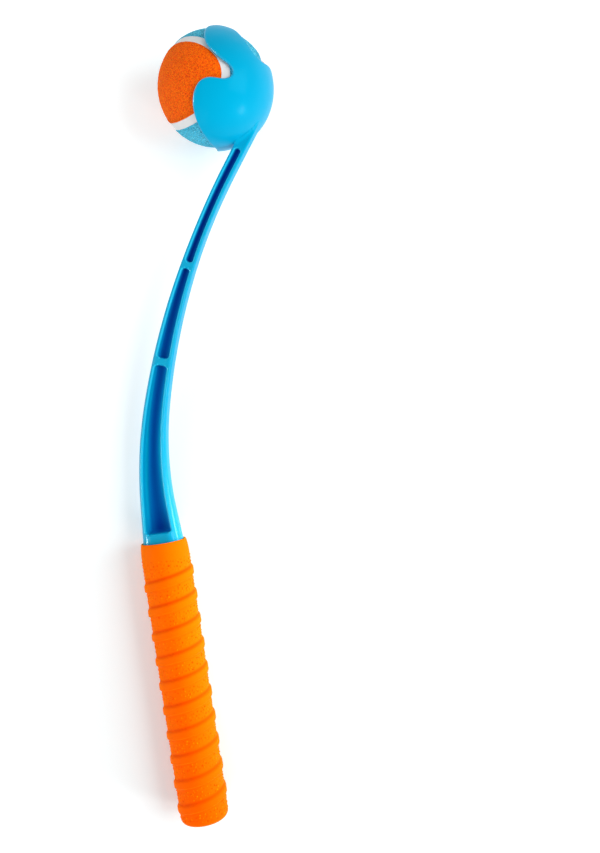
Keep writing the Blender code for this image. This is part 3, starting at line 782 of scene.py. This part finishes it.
# Painted shade: a near-black brown deep in the bore, where the mouth's gap lies in shadow.
bore_painted_shade = (0.04, 0.01, 0.0, 1)
bore_mark = 3.0
bore_brown_from, bore_brown_at = 1.6, 2.4


def bore_round(section):
    """Radius of the bore that takes a section with rounded corners, with the fit round it."""
    half_flats = (section[measure] / 2 - section["corner"] for measure in ("width", "depth"))
    return math.hypot(*half_flats) + section["corner"] + fit


bore_radius = bore_round(tongue_section)
recess_radius = bore_round(mouth_section)


def ridge(turn, place):
    """Height of the ridge over the plain skin and the painted shade in the creases at its feet.

    The middle of its crest is where place/pitch - turn - phase share is whole. The flank towards the
    butt is steep, the other slow.
    """
    phase = place / ridge_pitch - turn - ridge_phase_share
    past = ((phase + 0.5) % 1 - 0.5) * ridge_pitch
    half = ridge_width_share * ridge_pitch / 2
    climb = np.clip(np.minimum((past + half) / ridge_lower_flank, (half - past) / ridge_upper_flank), 0, 1)
    fade = np.clip(np.minimum(sleeve_length - plain_collar - place, place - plain_butt) / ridge_fade, 0, 1)
    # Painted shade: dark bands at both feet of the ridge, stronger on the collar's side.
    crease = (np.exp(-((past - half - crease_set_off) / crease_width) ** 2)
              + lower_crease_share * np.exp(-((past + half) / crease_width) ** 2))
    return ridge_height * fade * climb ** 2 * (3 - 2 * climb), fade * crease


def sleeve_points(turn, place, radius):
    """A point of the sleeve by its turn round the handle, its place along it and its radius."""
    return laid(radius * np.sin(math.tau * turn), place, radius * np.cos(math.tau * turn))


def sleeve_profile():
    """Rows from the butt's middle, over the skin, round the lip and down the stepped bore.

    Each row has its place along the sleeve, its radius, and whether it is on the outside.
    """
    quarter = np.linspace(0, math.pi / 2, quarter_points)
    flat = np.linspace(0, sleeve_radius - sleeve_end_round, butt_rows)[1:-1]
    skin = np.arange(sleeve_end_round + sleeve_step, sleeve_length - sleeve_lip_round, sleeve_step)
    lip_in, bore_end = sleeve_length - collar_depth, sleeve_end_wall
    flare = np.clip(1 - (sleeve_length - skin) / mouth_flare, 0, 1) ** 2
    drawn_in = sleeve_radius - sleeve_mouth_radius
    place = np.concatenate((
        0 * flat, sleeve_end_round * (1 - np.cos(quarter)), skin,
        sleeve_length - sleeve_lip_round * (1 - np.sin(quarter[1:])),
        [sleeve_length - sleeve_lip_round * lip_inner_share], [lip_in, lip_in],
        np.linspace(lip_in - bore_lead, bore_end, bore_rows), [bore_end]))
    radius = np.concatenate((
        flat, sleeve_radius - sleeve_end_round * (1 - np.sin(quarter)), sleeve_radius - drawn_in * flare,
        sleeve_mouth_radius - sleeve_lip_round * (1 - np.cos(quarter[1:])),
        [recess_radius], [recess_radius, bore_radius], np.full(bore_rows, bore_radius), [bore_radius / 2]))
    outside = np.arange(len(place)) < len(flat) + len(quarter) + len(skin)
    return place, radius, outside


def pimple_spots():
    """Turn, place and size of each pimple: a staggered lattice round the skin, jittered, off the ridge."""
    count = round(math.tau * sleeve_radius / pimple_spacing)
    rows = np.arange(plain_butt, sleeve_length - bare_collar, pimple_spacing * pimple_row_share)
    turn = (np.arange(count)[None, :] + 0.5 * (np.arange(len(rows)) % 2)[:, None]) / count
    place = rows[:, None] * np.ones((1, count))
    generator = np.random.default_rng(pimple_place_seed)
    jitter = (-pimple_jitter_share, pimple_jitter_share)
    turn = turn + generator.uniform(*jitter, turn.shape) / count
    place = place + generator.uniform(*jitter, turn.shape) * pimple_spacing
    height, crease = ridge(turn, place)
    keep = (height < pimple_most_ridge * ridge_height) & (crease < pimple_most_crease)
    return turn[keep], place[keep], generator.uniform(*pimple_size_shares, keep.sum())


def make_pimples():
    """Low domes on the skin: rings round each spot that rise along the skin's radius as they narrow.

    They are points, triangles, quads and a random tone for each dome. Every dome is closed underneath.
    """
    turn, place, size = pimple_spots()
    lift, spread = np.array(pimple_lift_shares), np.array(pimple_spread_shares)
    around = np.arange(pimple_sides) / pimple_sides * math.tau
    sideways = (spread[:, None] * np.cos(around)).ravel()
    along = (spread[:, None] * np.sin(around)).ravel()
    rise = np.repeat(lift, pimple_sides)
    sideways, along, rise = (np.append(values, (0, 0)) for values in (sideways, along, rise))
    rise[-2:] = (lift[0], 1.0)
    reach = (size * pimple_radius)[:, None]
    points = sleeve_points(turn[:, None] + sideways * reach / (math.tau * sleeve_radius),
                           place[:, None] + along * reach,
                           sleeve_radius + rise * pimple_height * size[:, None])
    rings, under = len(lift), len(lift) * pimple_sides
    ring = np.arange(pimple_sides)
    quads = grid_faces(rings, pimple_sides)
    caps = np.vstack((fan_faces(under, ring), fan_faces(under + 1, under - pimple_sides + ring)))
    first = (np.arange(len(turn)) * points.shape[1])[:, None, None]
    tones = np.random.default_rng(pimple_tone_seed).uniform(*pimple_tone_range, len(turn))
    return (points.reshape(-1, 3), (caps + first).reshape(-1, 3), (quads + first).reshape(-1, 4),
            np.repeat(tones, points.shape[1]))


def make_sleeve():
    """The sleeve's skin and bore as one turned grid, with its pimples on it.

    The crease mark of painted shade goes from 0 to 1 on the skin and is bore_mark inside the bore,
    where it paints the bore dark.
    """
    place, radius, outside = sleeve_profile()
    turn = np.arange(sleeve_columns)[None, :] / sleeve_columns
    place, radius = place[:, None], radius[:, None] * np.ones_like(turn)
    raised, crease = ridge(turn, place)
    raised = raised * outside[:, None]
    in_bore = radius < sleeve_mouth_radius - sleeve_lip_round / 2
    crease = np.where(outside[:, None], crease, bore_mark * in_bore)
    points = sleeve_points(turn, place, radius + raised)
    rows = len(place)
    ends = sleeve_points(0.0, np.array((0.0, sleeve_end_wall)), 0.0)
    skin = np.vstack((points.reshape(-1, 3), ends))
    ring = np.arange(sleeve_columns)
    fans = np.vstack((fan_faces(rows * sleeve_columns, ring),
                      fan_faces(rows * sleeve_columns + 1, ring + (rows - 1) * sleeve_columns)))
    domes, dome_fans, dome_quads, dome_tones = make_pimples()
    sleeve = mesh_from("grip_sleeve_skin", np.vstack((skin, domes)),
                       np.vstack((fans, dome_fans + len(skin))),
                       np.vstack((grid_faces(rows, sleeve_columns), dome_quads + len(skin))))
    give_attribute(sleeve, "crease", np.concatenate((crease.ravel(), np.zeros(2 + len(domes)))))
    give_attribute(sleeve, "pimple", np.concatenate((np.zeros(len(skin)), dome_tones)))
    face_out(sleeve, merge_distance=1e-8)
    return sleeve


def make_sleeve_rubber():
    """Matte orange elastomer with paler and darker pimples, and painted shade: darker and redder
    towards the butt, in the creases and in the bore.
    """
    material, tree, shader = start_material(
        "sleeve_rubber", IOR=1.45, Specular_IOR_Level=0.02, Specular_Tint=(1, 0.4, 0, 1),
        Sheen_Weight=0.55, Sheen_Roughness=0.45, Sheen_Tint=(1, 0.48, 0.0, 1))
    crease, pimple = read_mark(tree, "crease"), read_mark(tree, "pimple")
    place = add_node(tree, "ShaderNodeTexCoord").outputs["Object"]
    along = add_node(tree, "ShaderNodeSeparateXYZ", {0: place}).outputs["Y"]
    # Painted shade: darker and redder towards the butt.
    to_collar = add_node(tree, "ShaderNodeMapRange", {
        "Value": along, "From Min": butt[1], "From Max": butt[1] + sleeve_length}).outputs[0]
    plain = blend(tree, to_collar, butt_shade_orange, collar_orange)
    creased = blend(tree, crease, plain, crease_shade_orange)
    on_dome = combine(tree, "GREATER_THAN", pimple, pimple_mark_from)
    outside = blend(tree, on_dome, creased, blend(tree, pimple, pimple_dark_orange, pimple_pale_orange))
    # Painted shade: the bore's rows turn dark brown.
    in_bore = add_node(tree, "ShaderNodeMapRange", {
        "Value": crease, "From Min": bore_brown_from, "From Max": bore_brown_at}).outputs[0]
    tone = blend(tree, in_bore, outside, bore_painted_shade)
    put_on_skin(tree, shader, bump_strength=0.4, bump_depth=0.00008, Tone=tone, Tone_Shift=0.08,
                Grain_Frequency=1800.0, Patch_Frequency=90.0, Gloss_Low=0.5, Gloss_High=0.62)
    return material


sleeve = make_sleeve()
finish_piece(sleeve, make_sleeve_rubber(), sharp_angle=sharp_from_degrees)
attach(sleeve, "thrower")
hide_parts("grip_sleeve")


# Ball core halves
# Two black rubber half shells, bonded at their rims into the hollow core. The felt hides them, and
# they keep the shapes that the frame gives.


def make_core_rubber():
    """Black vulcanised rubber with the dull scuff that helps the felt's glue to hold."""
    material, tree, shader = start_material("ball_rubber", IOR=1.52)
    put_on_skin(tree, shader, bump_strength=0.5, bump_depth=0.0001, Tone=(0.03, 0.03, 0.03, 1),
                Tone_Shift=0.4, Grain_Frequency=1200.0, Patch_Frequency=150.0, Gloss_Low=0.6,
                Gloss_High=0.85)
    return material


core_rubber = make_core_rubber()
for half_name in ("ball_core_half_a", "ball_core_half_b"):
    half = frame["nodes"][half_name]
    half.data.materials.clear()
    half.data.materials.append(core_rubber)


# Felt panels
# Two dog-bone panels of napped felt, one orange and one light blue, glued round the core so that each
# wraps into the other's waist. Their cut edges are a little ragged and stand over the seam.

felt_thickness = 0.0027
felt_inner_radius = ball_radius - felt_thickness
seam_width = 0.0048
seam_depth = 0.0004
seam_swing_share = 0.225
seam_lift_share = 1.37
ball_turn_degrees = (-141.1, -36.6, 116.9)
felt_edge_round = 0.0008
felt_edge_rows = 6
felt_overhang = 0.0001
felt_raggedness = 0.00032
felt_ragged_cells = (0.0016, 0.0007)
felt_ragged_weights = (0.6, 0.4)
felt_nap = 0.00016
felt_nap_cells = (0.0012, 0.0006)
felt_nap_weights = (0.55, 0.45)
felt_cut_lift = 0.0001
felt_cut_foot = 0.0003
felt_columns = 900
felt_rows = 66
felt_inner_rows = 14
fibre_height_share = 0.5
hash_directions = (12.9898, 78.233, 37.719)
hash_scale = 43758.5453

tilt_turn = np.array(Matrix.Rotation(-tilt, 3, "Y"))
ball_turn = tilt_turn @ np.array(Euler([math.radians(a) for a in ball_turn_degrees]).to_matrix())


def on_ball(points):
    """Points drawn about the ball's centre, turned as the ball lies in the cup."""
    return points @ ball_turn.T + ball_centre


def seam_curve(turn):
    """The seam on the unit sphere: two circles of unlike size turning against each other, with a lift."""
    angle = math.tau * turn
    wide, narrow = 1 - seam_swing_share, seam_swing_share
    lift = 2 * seam_lift_share * math.sqrt(wide * narrow)
    return unit(np.stack((wide * np.cos(angle) + narrow * np.cos(3 * angle),
                          wide * np.sin(angle) - narrow * np.sin(3 * angle),
                          lift * np.sin(2 * angle)), axis=-1))


def seam_frame(count):
    """Directions along the seam and, for each, the tangent direction square to it, towards +Z's panel."""
    turn = np.arange(count) / count
    middle = seam_curve(turn)
    along = unit(seam_curve(turn + 0.25 / count) - seam_curve(turn - 0.25 / count))
    return middle, unit(np.cross(middle, along))


def lattice_noise(points, cell):
    """Smooth noise from -1 to 1: hashed values at the corners of a cubic lattice, blended by cubics."""
    scaled = points / cell
    base = np.floor(scaled)
    part = scaled - base
    part = part * part * (3 - 2 * part)
    total = np.zeros(points.shape[:-1])
    for corner in np.ndindex(2, 2, 2):
        weight = np.where(np.array(corner) == 1, part, 1 - part).prod(axis=-1)
        hashed = np.sin((base + corner) @ np.array(hash_directions)) * hash_scale
        total += weight * (hashed - np.floor(hashed))
    return 2 * total - 1


def uneven(points, seed, cells, weights):
    """Noise of two cell sizes, weighted and added, each from its own part of the lattice."""
    return (weights[0] * lattice_noise(points + seed, cells[0])
            + weights[1] * lattice_noise(points - seed, cells[1]))


def felt_points(side):
    """Rows of one panel from its middle, over its rounded ragged edge, under it and back inside.

    The outer rows are great circles from the panel's middle to its edge, lifted by noise for the nap.
    """
    middle, inward = seam_frame(felt_columns)
    inward = inward * side
    pole = np.array((0.0, 0.0, float(side)))
    ragged = felt_raggedness * uneven(middle * ball_radius, side, felt_ragged_cells, felt_ragged_weights)
    edge = seam_width / 2 - felt_overhang + ragged

    def inside(reach):
        angle = (reach / ball_radius)[:, None]
        return middle * np.cos(angle) + inward * np.sin(angle)

    rounding = felt_edge_round * (1 - np.cos(np.linspace(math.pi / 2, 0, felt_edge_rows)))
    outer_edge = inside(edge + felt_edge_round)
    share = (np.arange(1, felt_rows + 1) / felt_rows)[:, None, None]
    outer = slerp(pole, outer_edge, share)
    nap = felt_nap * uneven(outer * ball_radius, 1, felt_nap_cells, felt_nap_weights)
    rows = [outer * (ball_radius - felt_nap + nap)[..., None]]
    for reach in rounding[1:]:
        drop = felt_edge_round - math.sqrt(felt_edge_round ** 2 - (felt_edge_round - reach) ** 2)
        rows.append(inside(edge + reach)[None] * (ball_radius - felt_nap - drop))
    seam_top = ball_radius - seam_depth
    wall = np.full(felt_columns, seam_width / 2 + fit)
    for reach, radius in ((edge, seam_top - felt_cut_lift), (wall, seam_top - felt_cut_foot),
                          (wall, felt_inner_radius)):
        rows.append(inside(reach)[None] * radius)
    share = (np.arange(felt_inner_rows - 1, 0, -1) / felt_inner_rows)[:, None, None]
    rows.append(slerp(pole, inside(wall), share) * felt_inner_radius)
    return np.concatenate(rows), pole


def make_felt(name, side):
    """One closed panel: its rows of points, with a point in the middle outside and another underneath."""
    rows, pole = felt_points(side)
    count = rows.shape[0]
    points = np.vstack((rows.reshape(-1, 3), pole * (ball_radius - felt_nap), pole * felt_inner_radius))
    ring = np.arange(felt_columns)
    panel = mesh_from(name, on_ball(points),
                      np.vstack((fan_faces(count * felt_columns, ring),
                                 fan_faces(count * felt_columns + 1, ring + (count - 1) * felt_columns))),
                      grid_faces(count, felt_columns))
    face_out(panel, merge_distance=1e-9)
    return panel


def make_napped_felt():
    """Napped wool felt: curled fibres that catch the light over darker roots, gathered in small tufts."""
    group, given, out = start_group(
        "napped_felt",
        (("Root", "NodeSocketColor", (0.3, 0.3, 0.3, 1)), ("Body", "NodeSocketColor", (0.5, 0.5, 0.5, 1)),
         ("Fibre", "NodeSocketColor", (0.8, 0.8, 0.8, 1)), ("Fibre Frequency", "NodeSocketFloat", 2600.0),
         ("Tuft Frequency", "NodeSocketFloat", 1300.0)),
        (("Color", "NodeSocketColor"), ("Height", "NodeSocketFloat")))
    place = add_node(group, "ShaderNodeTexCoord").outputs["Object"]
    fibre = add_node(group, "ShaderNodeTexNoise", {
        "Vector": place, "Scale": given["Fibre Frequency"], "Detail": 3.0, "Distortion": 1.6}).outputs["Fac"]
    tuft = add_node(group, "ShaderNodeTexNoise", {
        "Vector": place, "Scale": given["Tuft Frequency"], "Detail": 2.0, "Distortion": 0.8}).outputs["Fac"]
    lit = add_node(group, "ShaderNodeMapRange", {
        "Value": fibre, "From Min": 0.48, "From Max": 0.66}).outputs[0]
    raised = add_node(group, "ShaderNodeMapRange", {
        "Value": tuft, "From Min": 0.38, "From Max": 0.54}).outputs[0]
    body = blend(group, raised, given["Root"], given["Body"])
    group.links.new(blend(group, lit, body, given["Fibre"]), out["Color"])
    group.links.new(combine(group, "MULTIPLY_ADD", fibre, fibre_height_share, tuft), out["Height"])
    return group


napped_felt = make_napped_felt()


def make_felt_cloth(name, root, body, fibre):
    """Dyed felt: the nap in its three tones, with a sheen of the fibre's own colour."""
    material, tree, shader = start_material(name, Roughness=0.95, Sheen_Weight=0.3, Sheen_Roughness=0.4,
                                            Sheen_Tint=fibre, Specular_IOR_Level=0.1)
    nap = add_node(tree, "ShaderNodeGroup", {"Root": root, "Body": body, "Fibre": fibre},
                   node_tree=napped_felt)
    bump = add_node(tree, "ShaderNodeBump", {"Strength": 0.8, "Distance": 0.0003,
                                             "Height": nap.outputs["Height"]})
    tree.links.new(nap.outputs["Color"], shader.inputs["Base Color"])
    tree.links.new(bump.outputs[0], shader.inputs["Normal"])
    return material


orange_felt = make_felt("felt_panel_orange", 1)
finish_piece(orange_felt, make_felt_cloth(
    "orange_felt", root=(0.66, 0.018, 0.0, 1), body=(1.0, 0.08, 0.0, 1), fibre=(1.0, 0.3, 0.0, 1)))
blue_felt = make_felt("felt_panel_blue", -1)
finish_piece(blue_felt, make_felt_cloth(
    "blue_felt", root=(0.0, 0.14, 0.28, 1), body=(0.01, 0.4, 0.64, 1), fibre=(0.24, 0.86, 1.0, 1)))
for panel, node_name, slot_name in ((orange_felt, "ball_felt_orange", "orange_felt"),
                                    (blue_felt, "ball_felt_blue", "blue_felt")):
    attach(panel, "ball")
    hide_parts(node_name)


# Seam
# The band of off-white compound that fills the gap between the felt panels, rubbed a little lower
# than their nap and slightly hollow along its middle.

seam_hollow = 0.00015
seam_wear = 0.00004
seam_wear_cell = 0.0015
seam_reach_shares = (-1.0, -1.0, -0.75, -0.4, 0.0, 0.4, 0.75, 1.0, 1.0)


def make_seam():
    """A ring of sections along the seam: a flat bottom on the core and a shallow hollow on top."""
    middle, across = seam_frame(felt_columns)
    reach = np.array(seam_reach_shares) * seam_width / 2
    top = ball_radius - seam_depth
    radius = top - seam_hollow * (1 - (2 * reach / seam_width) ** 2)
    radius[[0, -1]] = felt_inner_radius
    angle = (reach / ball_radius)[None, :, None]
    directions = middle[:, None] * np.cos(angle) + across[:, None] * np.sin(angle)
    worn = seam_wear * lattice_noise(directions * ball_radius, seam_wear_cell)
    points = directions * (radius + worn * (radius > felt_inner_radius))[..., None]
    faces = grid_faces(*points.shape[:2], ring=True)
    band = mesh_from("seam_band", on_ball(points.reshape(-1, 3)), faces)
    face_out(band, merge_distance=1e-9)
    return band


def make_seam_compound():
    """Off-white rubbery compound, chalky and faintly marked."""
    material, tree, shader = start_material("seam_band", IOR=1.5)
    put_on_skin(tree, shader, bump_strength=0.4, bump_depth=0.0001, Tone=(0.7, 0.7, 0.7, 1),
                Tone_Shift=0.12, Grain_Frequency=1500.0, Patch_Frequency=260.0, Gloss_Low=0.65,
                Gloss_High=0.85)
    return material


seam = make_seam()
finish_piece(seam, make_seam_compound(), sharp_angle=sharp_from_degrees)
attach(seam, "ball")
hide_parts("ball_seam")


# Floor and light
# A white floor that keeps the thrower's soft shadow, paled near the cup by painted light, and a white
# sky. A large soft lamp lights from the picture's right, smaller ones wrap the edges and fill the left,
# and one draws highlights alone.

picture_turn = math.radians(8.49)
picture_right = Vector((math.cos(picture_turn), -math.sin(picture_turn), 0))
picture_up = Vector((math.sin(picture_turn), math.cos(picture_turn), 0))
floor_size = 6.0
floor_parts = 8
floor_colour = (0.81, 0.865, 0.87, 1)
# Painted light: the glow for seen rays grows from the butt's end to the cup's, paling the shadow there.
floor_glow_near = 0.1
floor_glow_far = 0.32
floor_white_from, floor_white_at = 0.45, 1.3
sky_light = 0.5
part_middle = Vector((0, 0, 0.02))
side_lamp_place = picture_right * 0.36 + picture_up * 0.02 + Vector((0, 0, 0.08))
side_lamp_aim = picture_up * -0.16 - picture_right * 0.05 + Vector((0, 0, 0.015))


def seen_as_white(tree):
    """A mask of the rays that see the background itself: the camera's, and those of gloss and glass."""
    rays = add_node(tree, "ShaderNodeLightPath").outputs
    direct = combine(tree, "MAXIMUM", rays["Is Camera Ray"], rays["Is Glossy Ray"])
    return combine(tree, "MAXIMUM", direct, rays["Is Transmission Ray"])


def make_floor():
    """One wide square under the part, with a glow for the rays that see it.

    The glow grades from the butt's end of the part to the cup's, as painted light that pales the
    shadow near the cup, and to plain white far out.
    """
    bm = bmesh.new()
    bmesh.ops.create_grid(bm, x_segments=floor_parts, y_segments=floor_parts, size=floor_size / 2)
    mesh = bpy.data.meshes.new("floor")
    bm.to_mesh(mesh)
    bm.free()
    item = bpy.data.objects.new("floor", mesh)
    bpy.context.scene.collection.objects.link(item)
    material, tree, shader = start_material("floor_white", Base_Color=floor_colour, Roughness=0.9,
                                            Specular_IOR_Level=0.1, Emission_Color=(1, 1, 1, 1))
    place = add_node(tree, "ShaderNodeTexCoord").outputs["Object"]
    along = add_node(tree, "ShaderNodeSeparateXYZ", {0: place}).outputs["Y"]
    painted_light_grade = add_node(tree, "ShaderNodeMapRange", {
        "Value": along, "From Min": cad_low[1], "From Max": cad_high[1],
        "To Min": floor_glow_near, "To Max": floor_glow_far}, interpolation_type="SMOOTHSTEP").outputs[0]
    away = add_node(tree, "ShaderNodeVectorMath", {0: place}, operation="LENGTH").outputs["Value"]
    outer = add_node(tree, "ShaderNodeMapRange", {
        "Value": away, "From Min": floor_white_from, "From Max": floor_white_at}).outputs[0]
    glow = combine(tree, "MULTIPLY", seen_as_white(tree), combine(tree, "MAXIMUM", painted_light_grade, outer))
    tree.links.new(glow, shader.inputs["Emission Strength"])
    item.data.materials.append(material)


def make_sky():
    """A plain white sky: dimmer as light than as the white that camera, gloss and glass see."""
    world = bpy.data.worlds.new("studio")
    bpy.context.scene.world = world
    world.use_nodes = True
    tree = world.node_tree
    back = tree.nodes["Background"]
    back.inputs["Color"].default_value = (1, 1, 1, 1)
    strength = add_node(tree, "ShaderNodeMapRange", {
        "Value": seen_as_white(tree), "To Min": sky_light, "To Max": 1.0}).outputs[0]
    tree.links.new(strength, back.inputs["Strength"])


def lamp_place(bearing, height, distance):
    """A place by its bearing from the picture's right towards its top, its elevation and its distance.

    Both angles are in degrees. The distance is from the frame's origin, under the middle of the part.
    """
    bearing, height = math.radians(bearing), math.radians(height)
    level = picture_right * math.cos(bearing) + picture_up * math.sin(bearing)
    return (level * math.cos(height) + Vector((0, 0, math.sin(height)))) * distance


def add_lamp(name, place, size, power, aim=part_middle, spread=180, gloss_only=False):
    """An area lamp of a width and a height that faces the aim, its beam as wide as the spread in degrees.

    A lamp for gloss only draws highlights along polished edges and adds nothing to the surfaces' own tone.
    """
    light = bpy.data.lights.new(name, "AREA")
    light.shape = "RECTANGLE"
    light.size, light.size_y = size
    light.energy = power
    light.spread = math.radians(spread)
    lamp = bpy.data.objects.new(name, light)
    bpy.context.scene.collection.objects.link(lamp)
    lamp.location = place
    lamp.rotation_euler = (aim - place).to_track_quat("-Z", "Y").to_euler()
    lamp.visible_diffuse = not gloss_only


make_floor()
make_sky()
add_lamp("key", lamp_place(bearing=8, height=46, distance=2.0), size=(1.3, 1.3), power=25.0)
add_lamp("edge", lamp_place(bearing=-32, height=15, distance=1.1), size=(0.25, 0.25), power=5.1)
add_lamp("fill", lamp_place(bearing=237, height=18, distance=1.1), size=(0.7, 0.7), power=2.8)
add_lamp("left", lamp_place(bearing=178, height=36, distance=1.3), size=(0.5, 0.5), power=3.4)
add_lamp("glint", lamp_place(bearing=190, height=12, distance=1.3), size=(0.5, 0.3), power=20.0,
         gloss_only=True)
add_lamp("side", side_lamp_place, size=(0.12, 0.12), power=0.14, aim=side_lamp_aim, spread=45)


# Camera
# It hangs over the shaft and looks straight down but for a small turn to the picture's right, so that
# the point below it lies left of the picture's middle.

photo_width, photo_height = 600, 853
focal_pixels = 880.0
nadir_pixel = 213.0
camera_height = 0.545
camera_over = (-0.0049, 0.0026)
film_width = 36.0
nearest_seen, farthest_seen = 0.05, 20.0


def make_camera():
    """Looks down along -Z, turned so that the point below it falls on the nadir's pixel."""
    data = bpy.data.cameras.new("camera")
    data.sensor_width = film_width
    data.lens = focal_pixels / photo_height * film_width
    data.clip_start, data.clip_end = nearest_seen, farthest_seen
    camera = bpy.data.objects.new("camera", data)
    bpy.context.scene.collection.objects.link(camera)
    turn = math.atan((photo_width / 2 - nadir_pixel) / focal_pixels)
    back = Vector((0, 0, math.cos(turn))) - picture_right * math.sin(turn)
    right = picture_right * math.cos(turn) + Vector((0, 0, math.sin(turn)))
    axes = Matrix((right, picture_up, back)).transposed().to_4x4()
    camera.matrix_world = Matrix.Translation((*camera_over, camera_height)) @ axes
    bpy.context.scene.camera = camera


make_camera()
bpy.context.scene.view_settings.view_transform = "Standard"
